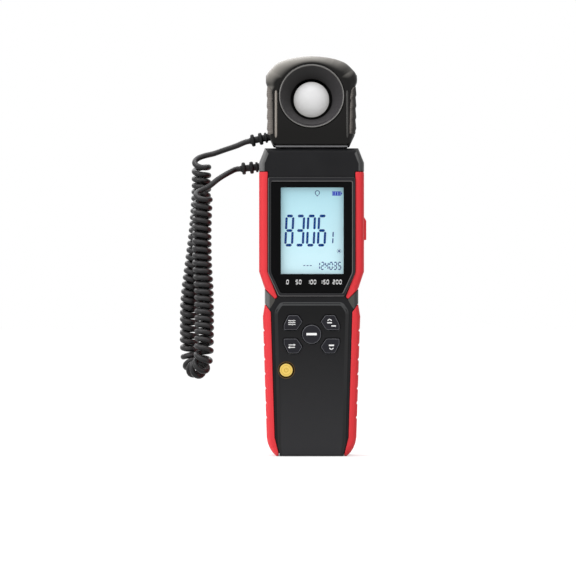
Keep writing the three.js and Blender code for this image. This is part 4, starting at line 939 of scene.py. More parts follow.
@dataclass
class Studio:
    """Camera, lamps, a white world and a pale floor.

    Attributes:
        camera_place: Place of the camera in metres; it looks along Y.
        lens: Focal length in millimetres, on a sensor 36 mm wide.
        ambient: Strength of the world's light on surfaces.
        key_power: Watts of the lamp at the left.
        fill_power: Watts of the lamp at the right.
        top_power: Watts of the lamp overhead.
        rim_power: Watts of the lamp behind and above.
    """

    camera_place: Place = (-0.0118, -2.015, 0.08425)
    lens: float = 250.0
    ambient: float = 0.55
    key_power: float = 5.0
    fill_power: float = 1.6
    top_power: float = 5.0
    rim_power: float = 6.0

    def build(self) -> None:
        """Makes the whole studio."""
        self.set_camera()
        self.light_world()
        self.add_lamp("key_lamp", (-0.75, -0.75, 0.85), 0.6, self.key_power)
        self.add_lamp("fill_lamp", (0.9, -0.7, 0.35), 0.7, self.fill_power)
        self.add_lamp("top_lamp", (0.0, -0.05, 0.95), 0.7, self.top_power)
        self.add_lamp("rim_lamp", (-0.35, 0.7, 0.75), 0.8, self.rim_power)
        self.lay_floor()
        bpy.context.scene.view_settings.view_transform = "Standard"

    def set_camera(self) -> None:
        """Puts the camera straight in front of the meter, level with its middle."""
        data = bpy.data.cameras.new("camera")
        data.lens = self.lens
        data.sensor_width = 36.0
        data.clip_start = 0.05
        camera = placed("camera", data)
        camera.location = self.camera_place
        camera.rotation_euler = (math.pi / 2, 0.0, 0.0)
        bpy.context.scene.camera = camera

    def light_world(self) -> None:
        """Makes a world that is white where it is seen and gives softer light on surfaces."""
        world = bpy.data.worlds.new("studio_world")
        world.use_nodes = True
        bpy.context.scene.world = world
        tree = world.node_tree
        shown = seen_share(tree)
        strength = add_node(
            tree, "ShaderNodeMapRange", {"To Min": self.ambient, "To Max": 1.0}, {"Value": shown}
        )
        background = tree.nodes["Background"]
        background.inputs["Color"].default_value = (1.0, 1.0, 1.0, 1.0)
        tree.links.new(strength.outputs["Result"], background.inputs["Strength"])

    @staticmethod
    def add_lamp(name: str, place: Place, size: float, power: float) -> None:
        """Adds a square lamp that looks at the middle of the meter.

        Args:
            name: Name of the lamp.
            place: Its place in metres.
            size: Its width in metres.
            power: Its power in watts.
        """
        data = bpy.data.lights.new(name, "AREA")
        data.size = size
        data.energy = power
        lamp = placed(name, data)
        lamp.location = place
        lamp.rotation_euler = (MIDDLE - Vector(place)).to_track_quat("-Z", "Y").to_euler()

    @staticmethod
    def lay_floor() -> None:
        """Lays a pale floor under the meter, white where the camera sees it, that keeps the shadow."""
        corners = np.array([(-4, -4, 0), (4, -4, 0), (4, 6, 0), (-4, 6, 0)], float)
        mesh = bpy.data.meshes.new("floor")
        mesh.from_pydata(corners.tolist(), [], [(0, 1, 2, 3)])
        floor = placed("floor", mesh)
        made = bpy.data.materials.new("pale_floor")
        made.use_nodes = True
        tree = made.node_tree
        shader = tree.nodes["Principled BSDF"]
        shader.inputs["Base Color"].default_value = linear("#f2f2f2")
        shader.inputs["Roughness"].default_value = 0.9
        shader.inputs["Specular IOR Level"].default_value = 0.0
        # Where the camera sees the floor, white light is mixed in: less of it close to the meter, where
        # the shadow lies, and more of it further off.
        white = add_node(tree, "ShaderNodeEmission", {"Color": (1, 1, 1, 1), "Strength": 1.22})
        place = add_node(tree, "ShaderNodeTexCoord").outputs["Object"]
        away = add_node(tree, "ShaderNodeVectorMath", {"operation": "LENGTH"}, {0: place}).outputs["Value"]
        span = {"From Min": 0.04, "From Max": 0.3, "To Min": 0.45, "To Max": 0.74}
        whiter = add_node(tree, "ShaderNodeMapRange", span, {"Value": away}).outputs["Result"]
        share = add_node(tree, "ShaderNodeMapRange", links={"Value": seen_share(tree), "To Max": whiter})
        mixed = add_node(
            tree,
            "ShaderNodeMixShader",
            links={0: share.outputs["Result"], 1: shader.outputs["BSDF"], 2: white.outputs["Emission"]},
        )
        tree.links.new(mixed.outputs["Shader"], tree.nodes["Material Output"].inputs["Surface"])
        mesh.materials.append(made)


def seen_share(tree: Tree) -> Socket:
    """Gives 1 for a ray from the camera, a mirror or through glass, and 0 for any other.

    Args:
        tree: The node tree of a world or a material.

    Returns:
        The share's socket.
    """
    rays = add_node(tree, "ShaderNodeLightPath").outputs
    both = add_node(
        tree, "ShaderNodeMath", {"operation": "ADD"}, {0: rays["Is Camera Ray"], 1: rays["Is Glossy Ray"]}
    )
    every = add_node(
        tree,
        "ShaderNodeMath",
        {"operation": "ADD", "use_clamp": True},
        {0: both.outputs["Value"], 1: rays["Is Transmission Ray"]},
    )
    return every.outputs["Value"]


# Cord


def coil_route() -> Array:
    """Gives the middle line of the coil, from the head's end down, round and up: x, y, z and pitch."""
    return np.array(
        [
            (-55.4, 2.6, 149.2, 6.6), (-55.45, 4.4, 145.2, 4.9), (-55.5, 5.3, 141, 3.6),
            (-55.6, 5.5, 132.75, 3.2), (-56.85, 5.6, 114.75, 3.3), (-59.15, 5.7, 95.75, 3.5),
            (-60.7, 5.8, 83.75, 3.5), (-61.4, 6.3, 74.75, 3.4), (-61.5, 7.5, 65, 3.4),
            (-61.6, 8.4, 58, 3.6), (-61.4, 8.5, 52.6, 4.6), (-61.1, 7.85, 49, 4.85), (-60.3, 6, 46, 4.85),
            (-59.1, 3.25, 44, 4.85), (-57.7, 0, 43.3, 4.85), (-56.3, -3.25, 44, 4.85),
            (-55.1, -6, 46, 4.85), (-54.3, -7.85, 49, 4.85), (-54, -8.5, 52.6, 4.7), (-53.9, -8.3, 58, 3.7),
            (-53.85, -7.4, 65, 3.4), (-53.9, -6.3, 74.75, 3.4), (-54.1, -5.8, 83.75, 3.5),
            (-54.85, -5.6, 95.75, 3.55), (-55.1, -5.5, 113.25, 3.6), (-54.7, -5.5, 124.5, 3.8),
            (-54.5, -6.2, 128.8, 4.8), (-54.5, -7.6, 132.6, 6.4),
        ]
    )


@dataclass
class Relief:
    """One strain relief: a collar on the shell, a tapered core and two round ribs.

    Attributes:
        root: Point on the shell's side in millimetres.
        fall: Angle below level at which the cord leaves, in degrees.
        length: From the shell to the relief's tip, in millimetres.
    """

    root: Place
    fall: float
    length: float = 9.6

    @property
    def direction(self) -> Array:
        """The way the cord leaves."""
        angle = math.radians(self.fall)
        return np.array((-math.cos(angle), 0.0, -math.sin(angle)))

    def point(self, distance: float) -> Array:
        """Gives the point on its axis at a distance from the shell."""
        return np.array(self.root) + self.direction * distance

    def build(self, name: str, node: str, body: Body) -> None:
        """Makes the relief.

        Args:
            name: Name of the piece.
            node: CAD node that it stands for.
            body: Body that it rides on.
        """
        rows = [
            (-3.0, 0.0, 0), (-3.0, 2.9, 0.2), (-1.8, 2.9, 0.2), (-1.8, 1.9, 0.2), (0.6, 1.9, 0.2),
            (0.6, 2.6, 0.35), (1.8, 2.6, 0.35), (1.8, 1.75, 0.25), (2.9, 1.7, 0.3), (3.0, 3.1, 0.8),
            (4.8, 3.1, 0.8), (4.9, 1.7, 0.3), (6.9, 1.7, 0.3), (7.0, 3.1, 0.8), (8.8, 3.1, 0.8),
            (8.9, 1.7, 0.3), (9.6, 1.55, 0.25), (9.6, 0.0, 0),
        ]
        profile = rounded_rows(rows, 4)
        piece = revolved(name, profile, np.array(self.root), self.direction, RUBBER, 32)
        shade_by_angle(piece, 50)
        fasten(piece, "rubber_black", body.value, node)


HEAD_RELIEF = Relief((-21.75, 0.15, 160.2), 12.0)
METER_RELIEF = Relief((-26.3, 2.65, 145.35), 6.0)


@dataclass
class CurlyCord:
    """The curly cord with its two straight leads, in one tube.

    Attributes:
        diameter: Of the cord, in millimetres.
        coil_radius: From the coil's middle line to the cord's own.
        turns: Curls in all.
        steps: Points in a curl.
        sides: Points round the cord.
        length: Of the whole cord along its own line, in metres; not used.
        samples: Parts in which the coil's middle line is measured.
        lead_step: From one point of a lead to the next.
        lead_in: How far before a relief's tip a lead runs straight, and how far it goes in.
    """

    diameter: float = 2.85
    coil_radius: float = 3.6
    turns: float = 55.5
    steps: int = 22
    sides: int = 12
    length: float = 1.322
    samples: int = 4000
    lead_step: float = 0.7
    lead_in: tuple[float, float] = (2.2, 1.0)

    def coil(self) -> tuple[Array, Array]:
        """Works out the coil: point = middle + radius * (cos a * sideways + sin a * across).

        The angle a falls by a full turn for each pitch of the way along the middle line.

        Returns:
            The cord's line, and the middle line's direction at each of its points.
        """
        route = coil_route()
        shares = np.linspace(0, 1, self.samples + 1)
        middle = centripetal(route[:, :3], shares)
        pitch = np.interp(shares * (len(route) - 1), np.arange(len(route)), route[:, 3])[1:]
        made = np.concatenate([[0], np.cumsum(np.linalg.norm(np.diff(middle, axis=0), axis=1) / pitch)])
        wanted = np.linspace(0, self.turns, round(self.turns * self.steps) + 1)
        place = np.interp(wanted, made * self.turns / made[-1], shares)
        centre = centripetal(route[:, :3], place)
        nudge = 1e-4
        along = unit(centripetal(route[:, :3], place + nudge) - centripetal(route[:, :3], place - nudge))
        sideways = unit(np.array((1.0, 0.0, 0.0)) - along[:, :1] * along)
        across = np.cross(along, sideways)
        angle = (-np.pi / 2 - 2 * np.pi * wanted)[:, None]
        line = centre + self.coil_radius * (np.cos(angle) * sideways + np.sin(angle) * across)
        return line, along

    def lead(self, coil_end: Array, beyond: Array, route: list, relief: Relief) -> Array:
        """Lays a lead from a coil end past its route's points into a strain relief.

        Args:
            coil_end: Last point of the coil.
            beyond: The coil's direction there.
            route: Points that the lead passes, in millimetres.
            relief: The relief that it goes into.

        Returns:
            Points of the lead, evenly spaced, from the coil to the relief.
        """
        before, within = self.lead_in
        ends = [relief.point(relief.length + before), relief.point(relief.length - within)]
        onward, samples = 1.6, 600
        points = np.array([coil_end, coil_end + beyond * onward, *route, *ends])
        fine = centripetal(points, np.linspace(0, 1, samples))
        run = np.concatenate([[0], np.cumsum(np.linalg.norm(np.diff(fine, axis=0), axis=1))])
        even = np.linspace(0, run[-1], round(run[-1] / self.lead_step))
        return np.stack([np.interp(even, run, fine[:, k]) for k in range(3)], 1)

    def build(self) -> None:
        """Makes the cord from the meter's relief through the coil to the head's relief."""
        coil, along = self.coil()
        head_route = [(-49.5, 6.4, 152.1), (-44, 4, 153.9), (-37.5, 0.9, 156)]
        meter_route = [(-46.4, -2.2, 139.4), (-40.6, 1, 142.9)]
        head = self.lead(coil[0], unit(coil[0] - coil[1]), head_route, HEAD_RELIEF)
        meter = self.lead(coil[-1], unit(coil[-1] - coil[-2]), meter_route, METER_RELIEF)[::-1]
        path = np.concatenate([meter[:-1], coil[::-1], head[1:]])
        down = np.tile((0.0, 0.0, -1.0), (len(meter) - 1, 1))
        up = np.tile((0.0, 0.0, 1.0), (len(head) - 1, 1))
        references = np.concatenate([down, -along[::-1], up])
        joins = (len(meter) - 1, len(meter) + len(coil) - 2)
        path = self.eased(path, joins)
        points = tube_points(path, references, self.diameter / 2, self.sides)
        faces = capped_faces(len(path), self.sides)
        cord = mesh_piece("curly_cord_jacket", points.reshape(-1, 3) * MM, faces, JACKET)
        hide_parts("cord_lead_head", "curly_cord", "cord_lead_meter")
        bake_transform(cord)
        run = np.linalg.norm(np.diff(path, axis=0), axis=1).sum()
        log.info("cord: %.0f mm along its line, %d points", run, len(path))

    def eased(self, path: Array, joins: tuple[int, int], reach: int = 7, passes: int = 12) -> Array:
        """Smooths the path near the joins of coil and leads.

        Each pass moves a point towards the middle of its neighbours, by a weight that falls to
        nothing at reach points from a join.

        Args:
            path: Points of the cord's line.
            joins: Numbers of the points where coil and lead meet.
            reach: Points to each side that move.
            passes: Number of passes.

        Returns:
            The smoothed path.
        """
        number = np.arange(len(path))
        near = np.min([np.abs(number - join) for join in joins], axis=0)
        weight = (0.5 * np.clip(1 - near / reach, 0, 1))[1:-1, None]
        path = path.copy()
        for _ in range(passes):
            middle = (path[:-2] + path[2:]) / 2
            path[1:-1] += weight * (middle - path[1:-1])
        return path


# Sensor head


def smooth_step(x: Array, low: float, high: float) -> Array:
    """Goes from 0 at low to 1 at high without a corner."""
    t = np.clip((x - low) / (high - low), 0, 1)
    return t * t * (3 - 2 * t)


@dataclass
class SensorHead:
    """The head: two shells, two side pads, two beads, the recess with its dome, and the dock plug.

    Attributes:
        foot: Z of its foot.
        height: From foot to top.
        front: Y of the face below the chin.
        back: Y of the back; not used.
        chin: Z from where the face leans back.
        lean: How far it leans, in degrees.
        recess: Z of the recess's middle.
        rim: Radius of the opening in the front shell.
        rise: How far the dome and the recess's floor lie above the recess's axis.
        wall: Thickness of the shells.
        edge: Width of the side edges' rounding, across and deep.
        crown: The same along the top.
        columns: Points in each ring of the shells.
        bead_middle: X of a bead's middle line.
        bead_half: Half of a bead's width.
        bead_span: Z of the beads' ends.
        pad_span: Z of the side pads' ends.
        tooth: From one tooth of a side pad to the next.
        dome_radii: Outer and inner radius of the dome.
        dome_depth: Of the dome's centre below the face.
    """

    foot: float = 155.3
    height: float = 45.7
    front: float = -15.0
    back: float = 13.0
    chin: float = 163.0
    lean: float = 12.0
    recess: float = 180.5
    rim: float = 16.75
    rise: float = 0.7
    wall: float = 2.0
    edge: tuple[float, float] = (2.3, 2.9)
    crown: tuple[float, float] = (9.0, 7.4)
    columns: int = 480
    bead_middle: float = 17.85
    bead_half: float = 0.66
    bead_span: Point = (159.3, 183.4)
    pad_span: Point = (161.0, 185.9)
    tooth: float = 5.675
    dome_radii: Point = (8.85, 7.6)
    dome_depth: float = 10.0

    def outline(self) -> Array:
        """Gives the head's outline in X and Z with rounded corners."""
        half = [(19.1, 0), (21.7, 5.7), (21.95, 30.2), (22.95, 32.5), (22.95, 36.4), (17.4, 42.4)]
        radii = [2.6, 4.4, 0.8, 1.2, 2.6, 2.6]
        crown = [(x, self.height - 3.1 * (abs(x) / 17.6) ** 2) for x in (12.0, 8.0, 4.0, 0.0)]
        chain = half + crown
        whole = chain + [(-x, z) for x, z in chain[-2::-1]]
        reach = radii + [0.0] * 4
        rounded = rounded_profile(whole, reach + reach[-2::-1], 8)
        return np.array(rounded) + (0, self.foot)

    def radial(self) -> tuple[Array, Array, Array]:
        """Samples the outline by angle about the recess's middle.

        Returns:
            The angles, the outline's distance at each, and how slanting the outline is there: 1 over
            the cosine between its normal and the ray, evened out past the corners.
        """
        outline = self.outline() - (0, self.recess)
        angle = np.arctan2(outline[:, 1], outline[:, 0])
        order = np.argsort(angle)
        angles = 2 * np.pi * np.arange(self.columns) / self.columns
        reach = self.cast(outline[order], angle[order], angles)
        slope = np.gradient(np.concatenate([reach[-1:], reach, reach[:1]]), angles[1])[1:-1] / reach
        most, spread = 1.7, 7
        slant = np.clip(np.hypot(1, slope), 1, most)
        kernel = np.hanning(2 * spread + 1) / np.hanning(2 * spread + 1).sum()
        slant = np.convolve(np.concatenate([slant[-spread:], slant, slant[:spread]]), kernel, "valid")
        return angles, reach, slant

    @staticmethod
    def cast(outline: Array, corners: Array, angles: Array) -> Array:
        """Finds how far a ray at each angle goes to a star-shaped outline.

        Args:
            outline: Points about the middle, by rising angle.
            corners: Their angles.
            angles: Angles of the rays.

        Returns:
            The distances.
        """
        turned = np.where(angles > corners[-1], angles - 2 * np.pi, angles)
        after = np.searchsorted(corners, turned) % len(corners)
        a, b = outline[after - 1], outline[after]
        ray = np.stack([np.cos(turned), np.sin(turned)], 1)
        edge = b - a
        across = a[:, 0] * edge[:, 1] - a[:, 1] * edge[:, 0]
        return across / (ray[:, 0] * edge[:, 1] - ray[:, 1] * edge[:, 0])

    def face(self, z: Array) -> Array:
        """Gives the face's Y at a height: upright below the chin, leaning back above it, with a soft bend."""
        bend = 1.2
        rise = np.asarray(z, float) - self.chin
        soft = np.logaddexp(0, rise / bend) * bend
        return self.front + math.tan(math.radians(self.lean)) * soft

    def skin(self, flat: Array) -> tuple[Array, Array]:
        """Gives rings from inside the face to the outline, with the rounding of the edge.

        The rounding is a quarter ellipse: at angle a the ring lies across * (1 - sin a) inside the
        outline and deep * (1 - cos a) behind the face. It grows from the side edges to the crown.

        Args:
            flat: Share of the way from the recess to the rounding for each flat ring.

        Returns:
            X and Z of each ring's points about the recess's middle, and how far they lie behind the face.
        """
        angles, reach, slant = self.radial()
        ray = np.stack([np.cos(angles), np.sin(angles)], 1)
        share = smooth_step(np.sin(angles), 0.05, 0.75)
        across = (self.edge[0] + (self.crown[0] - self.edge[0]) * share) * slant
        deep = self.edge[1] + (self.crown[1] - self.edge[1]) * share
        turn = np.linspace(0, np.pi / 2, 12)[:, None]
        start = self.rim * np.hypot(np.cos(angles), np.sin(angles) * math.cos(math.radians(self.lean)))
        least_flat = 0.5
        across = np.minimum(across, reach - start - least_flat)
        rounding = reach - across * (1 - np.sin(turn))
        behind = deep * (1 - np.cos(turn))
        level = start + (rounding[0] - start) * flat[:, None]
        distance = np.concatenate([level, rounding])
        depth = np.concatenate([np.zeros_like(level), behind])
        return distance[..., None] * ray, depth

    def build(self, frame: dict) -> None:
        """Makes every piece of the head.
        """
        self.front_shell()
        crisp_copy(frame, "head_rear_shell", "head_rear_moulded", HEAD_SHELL, 0.3, 3)
        for side in Side:
            self.bead(side)
            self.pad(side)
        self.bezel()
        self.dome()
        crisp_copy(frame, "dock_plug", "dock_plug_moulded", PLINTH, 0.25)
        corners = [(-18.0, 154.8), (18.0, 154.8), (18.0, 155.6), (-18.0, 155.6)]
        gasket = plate("head_foot_gasket", corners, -13.6, 11.0, PLINTH, 0.15)
        fasten(gasket, "plug_grey", Body.HEAD.value)
        log.info("sensor head built")

    def front_shell(self) -> None:
        """Makes the front shell: face, rounded edge, wall to the parting line, and the hollow behind."""
        parting = -0.15
        flat, depth = self.skin(np.array([0.0, 0.015, 0.25, 0.5, 0.75, 0.97]))
        z = flat[..., 1] + self.recess
        outer_y = np.minimum(self.face(z) + depth, parting)
        outer = np.stack([flat[..., 0], outer_y, z], -1)
        wall = outer[-1:] * (1, 0, 1) + (0, parting, 0)
        reach = np.linalg.norm(flat[::-1], axis=-1, keepdims=True)
        inner = flat[::-1] * (1 - self.wall / np.maximum(reach, 1))
        inner[-1] = flat[0]
        inner_z = inner[..., 1] + self.recess
        inner_y = np.minimum(self.face(inner_z) + depth[::-1] + self.wall, parting)
        hollow = np.stack([inner[..., 0], inner_y, inner_z], -1)
        shelf = hollow[:1] * (1, 0, 1) + (0, parting, 0)
        rings = np.concatenate([outer, wall, shelf, hollow, outer[:1]])
        faces = grid_faces(len(rings), self.columns)
        shell = mesh_piece("head_front_skin", rings.reshape(-1, 3) * MM, faces, HEAD_SHELL)
        shade_by_angle(shell, 40)
        fasten(shell, "case_black", Body.HEAD.value, "head_front_shell")

    def bead(self, side: Side) -> None:
        """Makes the raised bead beside the recess: a half round that runs out at both ends.

        Section at height z: x = middle + half * cos u, y = face + sunk - rise * sin u.

        Args:
            side: Which side of the face.
        """
        rows, columns = 70, 20
        sunk, proud, buried = 0.15, 0.72, 0.5
        z = np.linspace(*self.bead_span, rows)
        share = (z - z[0]) / (z[-1] - z[0])
        # The high power keeps the bead even almost up to its ends.
        swell = np.sqrt(np.clip(1 - np.abs(2 * share - 1) ** 14, 0, 1))[:, None]
        angle = 2 * np.pi * np.arange(columns) / columns
        x = side.value * self.bead_middle + self.bead_half * np.cos(angle) * swell
        rise = np.where(np.sin(angle) > 0, proud, buried)
        y = self.face(z)[:, None] + sunk - rise * np.sin(angle) * swell
        rings = np.stack([x, y, np.broadcast_to(z[:, None], x.shape)], -1)
        # The left bead takes the painted highlight, the right one the painted shade.
        finish = BEAD_PAINTED_HIGHLIGHT if side is Side.LEFT else BEAD_PAINTED_SHADE
        name = f"head_bead_{side.name.lower()}"
        bead = mesh_piece(name, rings.reshape(-1, 3) * MM, grid_faces(rows, columns), finish)
        fasten(bead, "case_black", Body.HEAD.value)

    def pad(self, side: Side) -> None:
        """Makes the rubber pad that wraps the head's side edge, with four teeth.

        Its section starts on the face, follows the rounded edge and the side to the rear shell, and
        comes back a little inside the shell. A tooth rises quickly and falls slowly over its pitch.

        Args:
            side: Which side of the head.
        """
        rows = 120
        low, high = self.pad_span
        z = np.linspace(low, high, rows)
        # Half of the head's width at each height.
        half = np.interp(z - self.foot, [5.7, 30.2, 30.6], [21.7, 21.95, 22.1])
        first, steep = 1.9, 0.22
        phase = ((z - low - first) / self.tooth) % 1.0
        tooth = 0.5 * np.where(phase < steep, phase / steep, (1 - phase) / (1 - steep)) - 0.12
        ends = smooth_step(z, low, low + 1) * (1 - smooth_step(z, high - 0.9, high))
        turn = np.linspace(0, np.pi / 2, 9)
        # The section's points: two on the face, nine round the edge, three along the side.
        across, deep = self.edge
        inset = np.concatenate([[2.9, 2.5], across * (1 - np.sin(turn)), [0.0, 0.0, 0.0]])
        behind = np.concatenate([[0.0, 0.0], deep * (1 - np.cos(turn)), [8.0, 20.0, 23.8]])
        rise = np.concatenate([[-0.3, 0.3], np.full(9, 0.35), [0.35, 0.35, -0.4]])
        wave = np.concatenate([[0.0, 0.25], np.linspace(0.4, 1, 9), [1.0, 1.0, 0.0]])
        lift = rise + wave * tooth[:, None] * 0.8
        lift = lift * ends[:, None] - 0.4 * (1 - ends[:, None])
        normal_x = np.concatenate([[0.0, 0.0], np.sin(turn), [1.0, 1.0, 1.0]])
        normal_y = np.concatenate([[-1.0, -1.0], -np.cos(turn), [0.0, 0.0, 0.0]])
        x = half[:, None] - inset + lift * normal_x
        face = np.minimum(self.face(z), -9.0)[:, None]
        y = np.minimum(face + behind, 9.6) + lift * normal_y
        # Three more come back inside the shell.
        x_in = half[:, None] - np.array([1.4, 1.4, 2.9])
        y_in = np.broadcast_to(np.array([9.4, -8.0, -8.0]), x_in.shape)
        section_x = np.concatenate([x, x_in], 1)
        section_y = np.concatenate([y, y_in], 1)
        # In front the section slants down towards the face's middle, most of all at the pad's top.
        slant = 2.7
        inward = np.clip((21.9 - section_x) / 2.9, 0, 1) * (section_y < 0)
        section_z = z[:, None] - slant * inward * ((z - low) / (high - low))[:, None]
        rings = np.stack([side.value * section_x, section_y, section_z], -1)
        faces = capped_faces(rows, section_x.shape[1])
        pad = mesh_piece(f"head_pad_{side.name.lower()}", rings.reshape(-1, 3) * MM, faces, PAD)
        shade_by_angle(pad, 55)
        fasten(pad, "rubber_black", Body.HEAD.value, f"head_grip_{side.name.lower()}")

    def axis(self) -> tuple[Array, Array]:
        """Gives the middle of the recess on the face and the way inwards."""
        angle = math.radians(self.lean)
        middle = np.array((0.0, self.front + math.tan(angle) * (self.recess - self.chin), self.recess))
        return middle, np.array((0.0, math.cos(angle), -math.sin(angle)))

    def upward(self) -> Array:
        """Gives the way up along the leaning face."""
        angle = math.radians(self.lean)
        return np.array((0.0, math.sin(angle), math.cos(angle)))

    def bezel(self) -> None:
        """Makes the recess: a thin lip in a painted highlight, a hollow cone with painted light, and the
        floor round the dome in painted shade.

        The cone is skewed: it rises evenly from nothing below the lip to the full rise at the floor.
        """
        rows = [
            (-0.45, 16.3, 0.2), (-0.45, 15.85, 0.2), (0.5, 15.6, 0.3), (5.5, 12.6, 2.0), (9.9, 10.3, 0.5),
            (11.2, 10.1, 0.15), (11.2, 8.9, 0), (13.0, 8.9, 0), (13.0, 11.9, 0.5), (6.0, 15.2, 0.5),
            (3.4, 17.1, 0.2), (2.3, 17.1, 0.1), (2.3, 16.45, 0.1),
        ]
        profile = rounded_rows(rows, 5)
        lip, painted_highlight_to, painted_shade_from, floor = 0.5, 0.35, 9.3, 9.9
        middle, inward = self.axis()
        bezel = revolved("recess_bezel", [*profile, profile[0]], middle, inward, BEZEL, 160)
        places = np.array([vertex.co[:] for vertex in bezel.data.vertices])
        along = (places / MM - middle) @ inward
        places += np.interp(along, [lip, floor], [0.0, self.rise])[:, None] * self.upward() * MM
        bezel.data.vertices.foreach_set("co", places.ravel())
        shade_by_angle(bezel, 50)
        # The lip's faces take the painted highlight, the deepest faces the painted shade.
        bezel.data.materials.append(LIP.material())
        bezel.data.materials.append(PAINTED_RECESS_SHADE.material())
        for polygon in bezel.data.polygons:
            depths = [along[v] for v in polygon.vertices]
            polygon.material_index = 1 if max(depths) < painted_highlight_to else 2 if min(depths) > painted_shade_from else 0
        fasten(bezel, "case_black", Body.HEAD.value, "sensor_bezel")

    def dome(self) -> None:
        """Makes the diffuser: an opal dome of even wall on a short skirt and a flange."""
        turn = np.linspace(0, np.pi / 2, 28)
        (wide, narrow), depth = self.dome_radii, self.dome_depth
        flange, sill, back = 10.5, 13.3, 14.5
        outer = [(depth - wide * math.cos(a), wide * math.sin(a)) for a in turn]
        inner = [(depth - narrow * math.cos(a), narrow * math.sin(a)) for a in turn[::-1]]
        skirt = [(sill, wide), (sill, flange), (back, flange), (back, narrow)]
        middle, inward = self.axis()
        middle = middle + self.rise * self.upward()
        dome = revolved("opal_dome", [*outer, *skirt, *inner], middle, inward, OPAL, 128)
        shade_by_angle(dome, 40)
        fasten(dome, "diffuser_white", Body.HEAD.value, "diffuser_dome")


# Keypad


